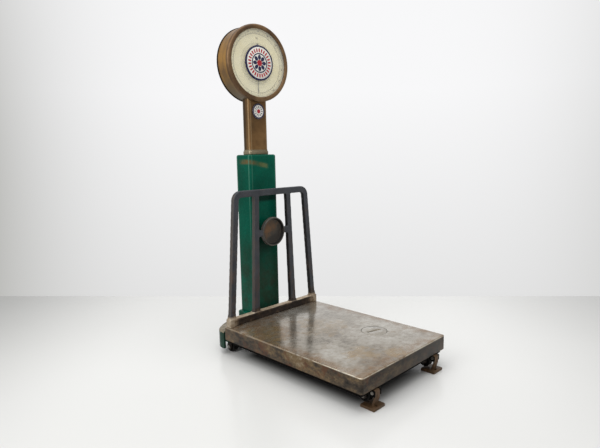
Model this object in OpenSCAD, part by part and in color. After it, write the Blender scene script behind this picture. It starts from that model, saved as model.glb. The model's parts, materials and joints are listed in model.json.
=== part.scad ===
// Portable platform scale with a round dial head.
// Millimetres, +Z up. The dial and the platform face -Y, the column stands at the back.
// The origin lies on the floor, under the middle of the whole machine.

/* [Platform] */
// Width of the weighing platform
plat_w = 550; // [520:5:620]
// Length of the weighing platform, front to back
plat_l = 761; // [720:1:840]
// Height of the platform's top above the floor
plat_top = 131; // [129:1:150]
// Thickness of the platform's plate
plate_t = 9; // [8:0.5:12]
// Depth of the skirt below the platform's top
skirt_h = 59; // [54:1:60]
// Thickness of the skirt
skirt_t = 7; // [5:0.5:9]
// Radius of the platform's corners
plat_r = 10; // [4:1:20]
// Radius of the round cover in the platform
plug_r = 54; // [44:1:70]
// Thickness of the round cover
plug_t = 6; // [4:0.5:7]
// Distance of the round cover to the right of the middle
plug_x = 120; // [0:1:150]
// Distance of the round cover from the platform's front edge
plug_in = 242; // [200:1:400]
// Length of the lifting slot in the round cover
slot_l = 71; // [40:1:76]
// Width of the lifting slot
slot_w = 9; // [6:0.5:14]
// Turn of the lifting slot
slot_turn = -16.4; // [-90:0.1:90]

/* [Base] */
// How far the base walls stand in from the platform's edge
base_in = 13; // [12:0.5:18]
// Thickness of the base walls
wall_t = 9; // [7:0.5:12]
// Height of the base walls' lower edge above the floor
base_bot = 56; // [52:1:58]
// Free height between the base walls and the platform's plate
over_gap = 10; // [8:0.5:12]
// How far the rear box reaches behind the platform
tail_l = 140; // [138:1:170]
// Straight part of the rear box's sides, behind the platform
tail_flat = 20; // [12:1:30]
// Gap between the platform and the rear box
tail_gap = 5; // [4:0.5:10]
// Height of the rear box's top above the floor
ledge_z = 106; // [104:1:110]
// Thickness of the rear box's top
ledge_t = 12; // [9:0.5:14]
// Height of the rear box's lower edge above the floor
tail_bot = 28; // [20:1:36]

/* [Column] */
// Width of the column
col_w = 161; // [150:1:180]
// Depth of the column
col_d = 104; // [98:1:106]
// Gap between the platform and the column
col_gap = 21.1; // [19:0.1:23]
// Height of the column's top above the floor
col_top = 876.7; // [820:0.1:960]
// Wall of the column
col_wall = 6; // [4:0.5:7]
// Radius of the column's upright edges
col_r = 12; // [8:1:18]
// How far the column's foot stands out at its sides
foot_out = 18; // [14:0.5:20]
// Height of the column's foot
foot_h = 29.5; // [22:0.5:40]
// Width of the neck
neck_w = 108; // [96:1:112]
// Depth of the neck
neck_d = 50; // [44:1:56]
// Wall of the neck
neck_wall = 4; // [3:0.5:6]
// Height of the collar under the neck
collar_h = 22.3; // [14:0.1:30]
// How far the collar's bead stands out around the neck
collar_out = 4.5; // [3.5:0.5:6]
// Radius of the round badge on the neck
badge_r = 33; // [28:1:38]
// How far the badge's centre lies below the dial's centre
badge_drop = 210.7; // [205:0.1:250]

/* [Dial head] */
// Height of the dial's centre above the floor
dial_z = 1283.7; // [1240:0.1:1360]
// Turn of the whole head on its neck, seen from above
head_turn = -3.5; // [-5:0.5:5]
// Radius of the visible dial
window_r = 149; // [148:1:154]
// Radius of the bezel
bezel_r = 169; // [168:1:180]
// Depth of the bezel
bezel_d = 18; // [16:0.5:22]
// Depth of the head from the bezel's front to the case's back
head_d = 93; // [90:1:110]
// Wall of the dial case
case_wall = 4; // [3:0.5:6]
// How far the bead at the case's back edge stands out
bead_out = 3.5; // [1:0.5:5]
// How far the bezel's front lies in front of the neck's front
bezel_ahead = 23.1; // [20:0.1:26]
// Thickness of the dial's glass
glass_t = 3; // [2:0.5:4]
// Radius of the enamelled disc at the dial's centre
roundel_r = 77; // [50:1:90]
// Length of the pointer from its axis
pointer_l = 132; // [124:1:148]
// Thickness of the enamelled disc
roundel_t = 5; // [2:0.5:5]
// Length of the pointer's tail
tail_r = 86; // [60:1:100]

/* [Railing] */
// Height of the railing above the platform
rail_h = 591; // [500:1:700]
// How far the railing's outer bars stand in from the platform's sides, at their foot
rail_side = 9.5; // [7:0.5:30]
// Outer width of the railing at its top
rail_w_top = 454; // [400:1:480]
// Width of the railing's bars
bar_w = 29; // [22:1:34]
// Thickness of the railing's bars, front to back
bar_d = 20; // [14:1:24]
// Gap between the railing's bars and the platform's rear edge
rail_in = 20; // [18:1:30]
// Radius of the railing's upper corners
rail_r = 45; // [30:1:60]
// Half the distance between the inner bars' middles at the foot
inner_low = 115.5; // [100:0.5:130]
// Half the distance between the inner bars' middles at the top
inner_top = 96.5; // [86:0.5:110]
// Radius of the railing's round dish
dish_r = 67; // [50:1:70]
// Height of the dish's centre above the platform
dish_z = 392; // [330:1:440]
// Height of the railing's foot rail
sill_h = 36; // [26:1:44]

/* [Running gear] */
// Radius of the wheels
wheel_r = 25; // [22:0.5:26]
// Width of the wheels
wheel_w = 27; // [18:1:27]
// Height that the parking feet lift the front wheels
lift = 13; // [12:0.5:14]
// How far the front wheels' middles stand in from the platform's sides
front_wheel_in = 77; // [71:1:81]
// How far the rear wheels' middles stand in from the platform's sides
rear_wheel_in = 55; // [55:1:63]
// Radius of the axles
axle_r = 5; // [4:0.5:6]
// Width of a parking foot's sole
sole_w = 63; // [50:1:66]
// Length of a parking foot's sole
sole_l = 60; // [50:1:62]
// Thickness of a parking foot's sole
sole_t = 10; // [7:0.5:11]
// How far the soles reach in front of the platform
toe_out = 16; // [12:1:24]

/* [Weighing works] */
// Short arm of both levers, from fulcrum to load pivot
short_arm = 50; // [46:1:56]
// Distance from the platform's front edge to the front fulcrum
fulcrum_in = 61; // [58:1:80]
// Distance from the platform's rear edge to the rear fulcrum
rear_fulcrum_in = 60; // [54:1:80]
// How far the lever stands' middles stand in from the platform's sides
stand_in = 145; // [143:1:151]
// Radius of the draft rod
rod_r = 4; // [3:0.5:6]
// Travel of the draft rod from no load to full load
rod_travel = 30; // [24:1:30]
// Teeth of the pointer's pinion
pinion_teeth = 16; // [14:1:20]
// Module of the rack and pinion
gear_m = 0.625; // [0.55:0.005:0.7]
// Radius of the pendulum's sector
sector_r = 42; // [40:1:46]
// Length of the pendulum from its axis to the bob's middle
pendulum_l = 95; // [84:1:98]
// Bore of the damping cylinder
dash_r = 22; // [18:0.5:23]
// Radius of the pendulum's bob
bob_r = 28; // [20:1:30]

/* [Hidden] */
$fn = 64;
clear = 0.3;
run = 0.05;
e = 0.01;

front_y = toe_out - (toe_out + plat_l + tail_l) / 2;
rear_y = front_y + plat_l;
plate_z = plat_top - plate_t;
skirt_z = plat_top - skirt_h;
wall_top = plate_z - over_gap;
base_x = plat_w / 2 - base_in;
base_y = front_y + base_in;
tail_y = rear_y + tail_gap;
bow_y = rear_y + tail_flat;
bow_d = tail_l - tail_flat;
col_y = rear_y + col_gap + col_d / 2;
foot_top = ledge_z + foot_h;
foot_ahead = 8;
foot_behind = 3;
ledge_chamfer = 6;
neck_z = col_top + collar_h;
neck_r = 10;
badge_z = dial_z - badge_drop;
badge_y = col_y - neck_d / 2 - 3.5;
case_r = bezel_r - 4;
bezel_y = col_y - neck_d / 2 - bezel_ahead;
rabbet = 12.5;
case_y = bezel_y + rabbet;
case_back = bezel_y + head_d;
bead_w = 8;
dial_deep = 19;
seat_y = bezel_y + dial_deep;
seat_t = 4;
frame_y = seat_y + seat_t;
frame_t = 3;
works_d = 34.5;
back_plate_y = frame_y + frame_t + works_d;
glass_y = bezel_y + 4;
glass_r = window_r + 5;
cover_bolt_r = case_r - 19;
frame_bolt_r = case_r - 38;

// Lever works
stand_x = plat_w / 2 - stand_in;
fulcrum_y = front_y + fulcrum_in;
load_y = fulcrum_y + short_arm;
rear_fulcrum_y = rear_y - rear_fulcrum_in;
rear_load_y = rear_fulcrum_y - short_arm;
meet_y = (fulcrum_y + rear_fulcrum_y) / 2;
knife_z = wall_top - 24;
knife_r = 6;
knife_reach = 22;
vee = 50;
plate_x = 16;
block_half = 12;
tube_r = 11;
shelf_t = 6;
shelf_x = stand_x + knife_reach + 6;
beam_w = 16;
beam_top = knife_z - 4;
beam_bot = beam_top - 18;
nose_tip = beam_bot + 3;

// Running gear
front_x = plat_w / 2 - front_wheel_in;
rear_x = plat_w / 2 - rear_wheel_in;
rear_axle_z = wheel_r;
front_axle_z = wheel_r + lift;
bracket_drop = wheel_r + 3;
pad_t = 10;
bracket_t = 6;
neck_top = rear_axle_z + bracket_drop + bracket_t + pad_t;
front_axle_y = front_y + 41;
rear_axle_y = rear_y + 14;
joint_y = rear_axle_y - 26;
cheek_in = wheel_w / 2 + 1.5;
cheek_t = 5;
eye_r = 8;
pin_r = 4;
eye_z = skirt_z - 4 - eye_r;
eye_y = front_y;
strap_w = 26;
strap_t = 8;
strap_y = eye_y - strap_t / 2;

// Head works
pinion_r = gear_m * pinion_teeth / 2;
gear_y = frame_y + frame_t + 6.5;
gear_w = 8;
bridge_y = gear_y + gear_w + 2;
rack_top = rod_travel + 6;
cross_z = -22;
ribbon_y = bridge_y + 6.5;
ribbon_w = 7;
pend_x = -sector_r;
pend_z = 45;

press = 25;
slack = 0.12;
base_r = pinion_r * cos(press);
tooth_add = 0.9 * gear_m;
tooth_ded = 1.2 * gear_m;
rack_t = 7;

// Column
bolt_x = col_w / 2 + 8;
bolt_y = col_d / 2 - 16;
hatch_w = 96;
hatch_z0 = foot_top + 90;
hatch_h = col_top - 130 - hatch_z0;
dash_x = 40;
dash_z = col_top - 180;
dash_h = 100;

// Platform and railing
plug_y = front_y + plug_in;
rail_back = rear_y - rail_in;
sill_ahead = 6;
sill_d = bar_d + 12;
sill_side = 1.5;
sill_w = plat_w - 2 * sill_side;
rail_w_low = plat_w - 2 * rail_side;
rail_bolt_in = 26.6;
rail_bolt_x = 58.4;
beam_slot = 16;
lug_l = inner_top + 16 - dish_r;
lug_h = 28;

green = [0.02, 0.30, 0.24];
brass = [0.45, 0.33, 0.18];
iron = [0.27, 0.27, 0.28];
rusty = [0.40, 0.33, 0.27];
steel = [0.60, 0.60, 0.60];
cream = [0.88, 0.86, 0.72];

// Points of a rectangle with round corners, centred on the origin
function round_rect(w, l, r, n = 6) = [
    for (c = [[1, 1, 0], [-1, 1, 90], [-1, -1, 180], [1, -1, 270]], i = [0 : n])
        let (a = c[2] + 90 * i / n)
        [c[0] * (w / 2 - r) + r * cos(a), c[1] * (l / 2 - r) + r * sin(a)]
];

// Upright block with round upright edges
module round_block(w, l, h, r) {
    linear_extrude(h) polygon(round_rect(w, l, r));
}

// Cylinder along X, centred on the origin
module rod_x(r, l, f = $fn) {
    rotate([0, 90, 0]) cylinder(r = r, h = l, center = true, $fn = f);
}

// Cylinder along +Y from the origin
module rod_y(r, l, f = $fn) {
    rotate([-90, 0, 0]) cylinder(r = r, h = l, $fn = f);
}

// Bar of square section along X, standing on its edge
module knife(l, grow = 0) {
    rod_x(knife_r + grow, l, 4);
}

module both_sides() {
    children();
    mirror([1, 0, 0]) children();
}

// The head turns about the column's middle, where the draft rod hangs
module dial_axis() {
    translate([0, col_y, dial_z]) rotate([0, 0, head_turn]) translate([0, -col_y, 0]) children();
}

// Outline of the rear box, shrunk by a wall
function bow_line(t, ahead = 0, n = 72) = concat(
    [[plat_w / 2 - t, tail_y - ahead], [plat_w / 2 - t, bow_y]],
    [for (i = [1 : n - 1]) let (a = 180 * i / n)
        [(plat_w / 2 - t) * cos(a), bow_y + (bow_d - t) * sin(a)]],
    [[t - plat_w / 2, bow_y], [t - plat_w / 2, tail_y - ahead]]
);

/* Base */

module lever_pad(y0, y1, x0, z) {
    translate([x0, y0, z]) cube([base_x - wall_t / 2 - x0, y1 - y0, pad_t]);
}

module foot_lugs() {
    ear_t = 6;
    ear_x = strap_w / 2 + 1;
    ear_z0 = eye_z - eye_r - 6;
    ear_top = eye_z + 7;
    tab_y = front_y + skirt_t + 1;
    for (s = [-1, 1])
        translate([front_x + s * (ear_x + ear_t / 2) - ear_t / 2, 0, 0])
            rotate([90, 0, 90]) linear_extrude(ear_t) polygon([
                [eye_y - 8, ear_z0], [eye_y - 8, ear_top], [tab_y, ear_top],
                [tab_y, wall_top - 12], [base_y + 1, wall_top - 12], [base_y + 1, base_bot],
                [eye_y + 7, ear_z0]
            ]);
    translate([front_x - ear_x - e, strap_y + strap_t / 2 + clear, ear_z0])
        cube([2 * ear_x + 2 * e, 5, 5.5]);
}

// Side walls between two depths, open at both ends
module side_walls(y0, y1) {
    both_sides() translate([base_x - wall_t, y0, base_bot]) cube([wall_t, y1 - y0, wall_top - base_bot]);
}

module base_frame() {
    color(rusty) difference() {
        union() {
            translate([-base_x, base_y, base_bot]) cube([2 * base_x, wall_t, wall_top - base_bot]);
            side_walls(base_y, joint_y);
            // Front shelf that carries the front stands
            translate([-shelf_x, base_y + wall_t / 2, base_bot])
                cube([2 * shelf_x, fulcrum_y + 16 - base_y - wall_t / 2, shelf_t]);
            both_sides() {
                // Pads over the wheel brackets
                lever_pad(base_y + wall_t / 2, front_axle_y + 24, shelf_x - 4,
                    front_axle_z + bracket_drop + bracket_t);
                translate([shelf_x - 4, base_y + wall_t / 2, base_bot])
                    cube([4, front_axle_y + 24 - base_y - wall_t / 2,
                        front_axle_z + bracket_drop + bracket_t + pad_t - base_bot]);
                // Shelf that carries a rear stand
                translate([stand_x - 24, rear_fulcrum_y - 18, base_bot])
                    cube([base_x - wall_t / 2 - stand_x + 24, 36, shelf_t]);
                foot_lugs();
            }
        }
        both_sides() {
            translate([front_x, eye_y, eye_z]) rod_x(pin_r + run, strap_w + 30);
            for (s = [-1, 1]) translate([front_x + s * 26, front_axle_y, base_bot])
                cylinder(r = 3 + run, h = 60);
        }
    }
}

// Bow fronted box behind the base, on the rear wheels' pads
module rear_box() {
    color(green) difference() {
        union() {
            difference() {
                side_walls(joint_y, tail_y + wall_t);
                translate([-plat_w, tail_y, ledge_z])
                    cube([2 * plat_w, tail_l, plat_top]);
                // The walls pass under the platform's rear skirt
                translate([-plat_w, rear_y - skirt_t - 2, neck_top])
                    cube([2 * plat_w, skirt_t + 2 + tail_gap, plat_top]);
            }
            difference() {
                union() {
                    translate([0, 0, tail_bot]) linear_extrude(ledge_z - ledge_chamfer - tail_bot)
                        polygon(bow_line(0));
                    translate([0, tail_y, ledge_z - ledge_chamfer - e])
                        linear_extrude(ledge_chamfer + e, scale = [1 - 2 * ledge_chamfer / plat_w,
                            1 - ledge_chamfer / (bow_y + bow_d - tail_y)])
                            translate([0, -tail_y]) polygon(bow_line(0));
                }
                translate([0, 0, tail_bot - 1]) linear_extrude(ledge_z - ledge_t - tail_bot + 1)
                    polygon(bow_line(wall_t + 1, 1));
                translate([-50, col_y - 30, ledge_z - ledge_t - 1]) cube([100, 60, ledge_t + 2]);
            }
            both_sides() lever_pad(joint_y, rear_axle_y + 24, stand_x - 24, neck_top - pad_t);
        }
        both_sides() for (s = [-1, 1]) translate([rear_x + s * 26, rear_axle_y, base_bot - 10])
            cylinder(r = 3 + run, h = 40);
        for (x = [-1, 1], y = [-1, 1])
            translate([x * bolt_x, col_y + y * bolt_y, ledge_z - ledge_t - 1])
                cylinder(r = 4 + run, h = ledge_t + 2);
    }
}

module column_hollow(h) {
    round_block(col_w - 2 * col_wall, col_d - 2 * col_wall, h, max(2, col_r - col_wall));
}

module column_foot() {
    foot_w = col_w + 2 * foot_out;
    foot_d = col_d + foot_ahead + foot_behind;
    color(green) translate([0, col_y, ledge_z]) difference() {
        translate([0, (foot_behind - foot_ahead) / 2, 0]) {
            round_block(foot_w, foot_d, foot_h - 4, col_r);
            translate([0, 0, foot_h - 4 - e]) round_block(foot_w - 4, foot_d - 4, 4 + e, col_r - 2);
        }
        translate([0, 0, -1]) column_hollow(foot_h + 2);
        for (x = [-1, 1], y = [-1, 1])
            translate([x * bolt_x, y * bolt_y, -1]) cylinder(r = 4 + run, h = 20);
    }
}

module column_bolts() {
    color(steel) for (x = [-1, 1], y = [-1, 1])
        translate([x * bolt_x, col_y + y * bolt_y, ledge_z - ledge_t]) {
            translate([0, 0, -6]) cylinder(r = 7.5, h = 6, $fn = 6);
            translate([0, 0, -e]) cylinder(r = 4, h = ledge_t + 16);
        }
}

module column_shell() {
    top_t = 8;
    color(green) difference() {
        union() {
            translate([0, col_y, foot_top]) round_block(col_w, col_d, col_top - foot_top - 9, col_r);
            translate([0, col_y, col_top - 9 - e])
                round_block(col_w - 2, col_d - 2, 4 + e, col_r - 1);
            translate([0, col_y, col_top - 5 - e])
                round_block(col_w - 7, col_d - 7, 3 + e, col_r - 3);
            translate([0, col_y, col_top - 2 - e])
                round_block(col_w - 13, col_d - 13, 2 + e, col_r - 5);
        }
        translate([0, col_y, foot_top - 1]) column_hollow(col_top - top_t - foot_top + 1);
        translate([0, col_y, col_top - top_t - 1]) cylinder(r = 18, h = top_t + 2);
        translate([-hatch_w / 2 + 10, col_y, hatch_z0 + 10])
            cube([hatch_w - 20, col_d, hatch_h - 20]);
        hatch_screws(3 + run, col_wall + 2);
    }
}

module hatch_screws(r, l) {
    for (x = [-1, 1], z = [0.02, 0.5, 0.98])
        translate([x * (hatch_w / 2 - 5), col_y + col_d / 2 - l + 1,
            hatch_z0 + 5 + (hatch_h - 10) * z])
            rod_y(r, l + 4);
}

module column_cover() {
    color(green) difference() {
        translate([-hatch_w / 2, col_y + col_d / 2, hatch_z0]) cube([hatch_w, 3, hatch_h]);
        hatch_screws(3 + run, 4);
    }
}

module column_cover_screws() {
    color(steel) for (x = [-1, 1], z = [0.02, 0.5, 0.98])
        translate([x * (hatch_w / 2 - 5), col_y + col_d / 2, hatch_z0 + 5 + (hatch_h - 10) * z]) {
            translate([0, 3 - col_wall - 2, 0]) rod_y(3, col_wall + 2);
            translate([0, 3, 0]) rod_y(4.8, 2.4);
        }
}

/* Neck and head */

module neck_solid(w, d, r, z0, z1) {
    translate([0, col_y, z0]) round_block(w, d, z1 - z0, r);
}

module neck_collar() {
    color(brass) difference() {
        union() {
            for (b = [[-2, 0, collar_h - 5], [0, 4, collar_h - 9], [-3, 0, collar_h]])
                neck_solid(neck_w + 2 * (collar_out + b[0]), neck_d + 2 * (collar_out + b[0]),
                    neck_r + collar_out + b[0], col_top + b[1], col_top + b[2]);
        }
        neck_solid(neck_w - 2 * neck_wall, neck_d - 2 * neck_wall, neck_r - neck_wall,
            col_top - 1, neck_z + 1);
    }
}

module neck_tube() {
    color(brass) difference() {
        neck_solid(neck_w, neck_d, neck_r, neck_z, dial_z - case_r / 2);
        neck_solid(neck_w - 2 * neck_wall, neck_d - 2 * neck_wall, neck_r - neck_wall,
            neck_z - 1, dial_z);
        dial_axis() translate([0, case_y - 40, 0]) rod_y(case_r + run, head_d + 80, 128);
    }
}

module badge_rim() {
    color(brass) difference() {
        translate([0, badge_y, badge_z]) rod_y(badge_r + 3, 12);
        translate([0, badge_y - 1, badge_z]) rod_y(badge_r + run, 3);
        neck_solid(neck_w + 2 * e, neck_d + 2 * e, neck_r, badge_z - 60, badge_z + 60);
    }
}

module badge_plate() {
    color("white") translate([0, badge_y, badge_z]) rod_y(badge_r, 2);
}

module dial_case() {
    color(brass) difference() {
        dial_axis() rotate([-90, 0, 0]) rotate_extrude($fn = 128) polygon([
            [case_r - case_wall, case_y], [case_r, case_y],
            [case_r, case_back - bead_w], [case_r + bead_out - 1, case_back - bead_w + 1],
            [case_r + bead_out, case_back - bead_w + 2.5],
            [case_r + bead_out, case_back - 3], [case_r + bead_out - 1, case_back - 1],
            [case_r + bead_out - 3, case_back],
            [case_r - 25, case_back], [case_r - 25, case_back - 4],
            [case_r - case_wall, case_back - 4],
            [case_r - case_wall, frame_y], [case_r - 45, frame_y], [case_r - 45, seat_y],
            [case_r - case_wall, seat_y]
        ]);
        translate([-20, col_y - 15, dial_z - case_r - 5]) cube([40, 30, 30]);
        for (a = [0 : 5]) dial_axis() rotate([0, a * 60 + 30, 0])
            translate([cover_bolt_r, case_back - 8, 0]) rod_y(2.5 + run, 10);
        for (a = [0 : 3]) dial_axis() rotate([0, a * 90 + 45, 0])
            translate([frame_bolt_r, seat_y + 1, 0]) rod_y(2 + run, 10);
    }
}

module dial_bezel() {
    color(brass) dial_axis() translate([0, bezel_y, 0]) rotate([-90, 0, 0])
        rotate_extrude($fn = 128) polygon([
            [window_r, 1.5], [window_r + 2, 0], [bezel_r - 5, 0], [bezel_r - 1.5, 1.5],
            [bezel_r, 5], [bezel_r, bezel_d], [case_r + run, bezel_d], [case_r + run, rabbet],
            [glass_r, rabbet], [glass_r, 4], [window_r, 4]
        ]);
}

module dial_glass() {
    color([0.8, 0.9, 0.9, 0.35]) dial_axis() translate([0, glass_y, 0])
        rod_y(glass_r - run, glass_t, 128);
}

module glass_ring() {
    color(brass) dial_axis() translate([0, glass_y + glass_t, 0]) difference() {
        rod_y(glass_r - run, 3, 128);
        translate([0, -1, 0]) rod_y(window_r + 1, 5, 128);
    }
}

module dial_plate() {
    color(cream) dial_axis() translate([0, seat_y - 2, 0]) difference() {
        rod_y(case_r - case_wall - clear, 2, 128);
        translate([0, -1, 0]) rod_y(6, 4);
    }
}

module centre_roundel() {
    color("white") dial_axis() translate([0, glass_y - roundel_t, 0]) rod_y(roundel_r, roundel_t, 96);
}

module case_cover() {
    color(brass) difference() {
        dial_axis() translate([0, case_back, 0]) rod_y(case_r - 12, 3, 128);
        for (a = [0 : 5]) dial_axis() rotate([0, a * 60 + 30, 0])
            translate([cover_bolt_r, case_back - 8, 0]) rod_y(2.5 + run, 20);
    }
}

module case_cover_screws() {
    color(steel) for (a = [0 : 5]) dial_axis() rotate([0, a * 60 + 30, 0])
        translate([cover_bolt_r, case_back, 0]) {
            translate([0, -5, 0]) rod_y(2.5, 8 + e);
            translate([0, 3, 0]) rod_y(4.4, 2.2);
        }
}

/* Movement in the head */

module movement_frame() {
    posts = [[-75, 92], [40, 92], [40, -30]];
    color(brass) dial_axis() difference() {
        union() {
            translate([0, frame_y, 0]) rod_y(case_r - 30, frame_t, 96);
            for (p = posts) translate([p[0], frame_y, p[1]]) rod_y(4, back_plate_y - frame_y + e, 32);
            translate([0, back_plate_y + frame_t, 0]) rotate([90, 0, 0]) linear_extrude(frame_t)
                polygon([[-85, 102], [50, 102], [50, -40], [30, -40], [30, 40], [-60, 30], [-85, 60]]);
        }
        translate([pend_x, frame_y - 1, pend_z]) rod_y(4 + run, 60);
        translate([0, frame_y - 1, 0]) rod_y(2.5 + run, 10);
        for (a = [0 : 3]) rotate([0, a * 90 + 45, 0])
            translate([frame_bolt_r, frame_y - 1, 0]) rod_y(2 + run, 10);
        for (s = [-1, 1]) translate([s * 26, frame_y - 1, 0]) rod_y(1.5 + run, 10);
    }
}

module movement_screws() {
    color(steel) for (a = [0 : 3]) dial_axis() rotate([0, a * 90 + 45, 0])
        translate([frame_bolt_r, frame_y, 0]) {
            translate([0, -3, 0]) rod_y(2, 3 + frame_t + e, 32);
            translate([0, frame_t, 0]) rod_y(3.6, 2, 32);
        }
}

module movement_bridge() {
    color(brass) dial_axis() difference() {
        union() {
            translate([-31, bridge_y, -6]) cube([62, frame_t, 12]);
            for (s = [-1, 1]) translate([s * 26, frame_y + frame_t, 0])
                rod_y(3, bridge_y - frame_y - frame_t + e, 32);
            for (s = [-1, 1]) translate([s * 26, frame_y + 0.5, 0])
                rod_y(1.5, frame_t, 32);
        }
        translate([0, bridge_y - 1, 0]) rod_y(2.5 + run, 10);
    }
}

module pointer_shaft() {
    color(steel) dial_axis() {
        translate([0, glass_y + glass_t + 1.5, 0])
            rod_y(2.5, bridge_y + frame_t - 0.5 - glass_y - glass_t);
        translate([0, gear_y + gear_w, 0]) rotate([90, 0, 0])
            linear_extrude(gear_w) pinion_outline();
    }
}

// Half the angle that a tooth fills at radius r, for an involute flank
function inv(a) = tan(a) - a * PI / 180;
function half_tooth(r) = let (a = acos(min(1, base_r / r)))
    (90 / pinion_teeth) + (inv(press) - inv(a)) * 180 / PI - slack / pinion_r * 180 / PI;

// The tooth space faces +X at rest, so that a rack tooth stands in it
module pinion_outline() {
    root_r = pinion_r - tooth_ded;
    tip_r = pinion_r + tooth_add;
    step = 360 / pinion_teeth;
    radii = [for (i = [0 : 4]) base_r + (tip_r - base_r) * i / 4];
    difference() {
        circle(r = tip_r);
        for (k = [0 : pinion_teeth - 1]) rotate((k + 0.5) * step + step / 2)
            polygon(concat(
                [for (r = radii) let (a = step / 2 - half_tooth(r)) [r * cos(a), r * sin(a)]],
                [[tip_r * 1.2, tip_r * sin(step / 2 - half_tooth(tip_r))],
                    [tip_r * 1.2, -tip_r * sin(step / 2 - half_tooth(tip_r))]],
                [for (i = [4 : -1 : 0]) let (r = radii[i], a = half_tooth(r) - step / 2)
                    [r * cos(a), r * sin(a)]],
                [[root_r * cos(step / 4), -root_r * sin(step / 4)],
                    [root_r * cos(step / 4), root_r * sin(step / 4)]]
            ));
    }
}

module rack() {
    pitch = PI * gear_m;
    add = tooth_add;
    ded = tooth_ded;
    rise = tan(press);
    half = pitch / 4 - slack;
    low = -floor((-cross_z - half) / pitch) + 1;
    count = floor(rack_top / pitch);
    color(brass) dial_axis() translate([pinion_r, gear_y + gear_w, 0]) rotate([90, 0, 0])
        linear_extrude(gear_w) polygon(concat(
            [[ded + rack_t, cross_z], [ded, cross_z]],
            [for (k = [low : count], p = [[ded, -half - ded * rise], [-add, -half + add * rise],
                [-add, half - add * rise], [ded, half + ded * rise]]) [p[0], p[1] + k * pitch]],
            [[ded, rack_top + pitch], [ded + rack_t, rack_top + pitch]]
        ));
}

module crosshead() {
    color(steel) dial_axis() difference() {
        union() {
            translate([-8, bridge_y - 2 + frame_t, cross_z - 12])
                cube([16, ribbon_y + ribbon_w + 2 - bridge_y - frame_t + 2, 14]);
            translate([pinion_r + tooth_ded, gear_y, cross_z - 12])
                cube([rack_t, ribbon_y - gear_y, 12]);
        }
        translate([0, col_y, cross_z - 13]) cylinder(r = rod_r + run, h = 7);
        translate([-0.25, ribbon_y - 0.1, cross_z - 6]) cube([0.5, ribbon_w + 0.2, 20]);
    }
}

module draft_rod() {
    top = dial_z + cross_z - 6;
    bar_z = beam_top + 8;
    color(steel) union() {
        translate([0, col_y, bar_z]) cylinder(r = rod_r, h = top - bar_z);
        translate([-32, col_y - 7, bar_z]) cube([64, 14, 8]);
        both_sides() {
            translate([26, col_y - 7, nose_tip - 9]) cube([6, 14, bar_z - nose_tip + 10]);
            translate([10, col_y - 7, nose_tip - 9]) cube([22, 14, 8.8]);
        }
    }
}

module pull_ribbon() {
    color(brass) dial_axis()
        translate([-0.2, ribbon_y, cross_z - 6]) cube([0.4, ribbon_w, pend_z - cross_z + 6]);
}

// Outline of the sector: its rim winds up the ribbon, from the right side upwards
module sector_outline() {
    rim = sector_r - 0.2 - run;
    sweep = 62;
    steps = 24;
    hole_r = 7;
    hole_at = sector_r * 0.62;
    difference() {
        union() {
            polygon(concat([[0, 0]],
                [for (i = [0 : steps]) let (a = sweep * i / steps) [rim * cos(a), rim * sin(a)]]));
            circle(r = 12, $fn = 48);
        }
        translate([hole_at * cos(sweep / 2), hole_at * sin(sweep / 2)])
            circle(r = hole_r, $fn = 32);
    }
}

module pendulum_sector() {
    color(brass) dial_axis() translate([pend_x, ribbon_y - 1, pend_z]) difference() {
        union() {
            translate([0, ribbon_w + 2, 0]) rotate([90, 0, 0]) linear_extrude(ribbon_w + 2)
                sector_outline();
            translate([0, frame_y - ribbon_y - 1 + 1.5, 0])
                rod_y(4, back_plate_y + frame_t - frame_y + 1, 48);
        }
        // Slot that takes the stem's upper end
        translate([-5, -1, -13]) cube([10, ribbon_w / 2 + 2, 3]);
    }
}

module pendulum_stem() {
    color(steel) dial_axis() translate([pend_x, ribbon_y - 1, pend_z])
        translate([-5, 0, -pendulum_l - 6]) cube([10, ribbon_w / 2, pendulum_l - 4]);
}

module pendulum_bob() {
    thick = 16;
    color(iron) dial_axis() difference() {
        translate([pend_x, ribbon_y + 1 - thick + 3, pend_z - pendulum_l]) rod_y(bob_r, thick, 64);
        translate([pend_x - 5 - run, ribbon_y - 1 - run, pend_z - pendulum_l - 7])
            cube([10 + 2 * run, ribbon_w / 2 + 2 * run, bob_r + 10]);
    }
}

module pointer() {
    blade_t = 1.2;
    tip = 0.5;
    root = 2.2;
    diamond = 2.8;
    neck = 112;
    color("black") dial_axis() translate([0, glass_y + glass_t + 4, 0]) difference() {
        union() {
            rod_y(8, blade_t);
            translate([0, blade_t, 0]) rotate([90, 0, 0]) linear_extrude(blade_t) polygon([
                [-4, tail_r], [-4, tail_r - 22], [-root, 4], [-root, -4], [-1.2, -neck],
                [-diamond, -neck - 6], [-tip, -pointer_l], [tip, -pointer_l],
                [diamond, -neck - 6], [1.2, -neck], [root, -4], [root, 4], [4, tail_r - 22],
                [4, tail_r]
            ]);
        }
        translate([0, -1, 0]) rod_y(2.5 + run, blade_t + 2);
    }
}

/* Dashpot in the column */

module dashpot_cylinder() {
    color(brass) translate([0, col_y, dash_z]) difference() {
        union() {
            translate([dash_x, 0, 0]) cylinder(r = dash_r + 2, h = dash_h);
            translate([dash_x - 20, -18, -8]) cube([col_w / 2 - col_wall - dash_x + 20, 36, 8 + e]);
            translate([col_w / 2 - col_wall - 5, -18, -8]) cube([5, 36, 48]);
        }
        translate([dash_x, 0, 4]) cylinder(r = dash_r, h = dash_h);
    }
}

module dashpot_piston() {
    color(steel) translate([0, col_y, dash_z]) {
        translate([dash_x, 0, dash_h - 30]) cylinder(r = dash_r - clear, h = 8);
        translate([dash_x, 0, dash_h - 22 - e]) cylinder(r = 3, h = 60);
        difference() {
            translate([-9, -9, dash_h + 32]) cube([dash_x + 18, 18, 10]);
            translate([0, 0, dash_h + 31]) cylinder(r = rod_r + run, h = 12);
        }
    }
}

/* Wheels, brackets and parking feet */

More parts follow.
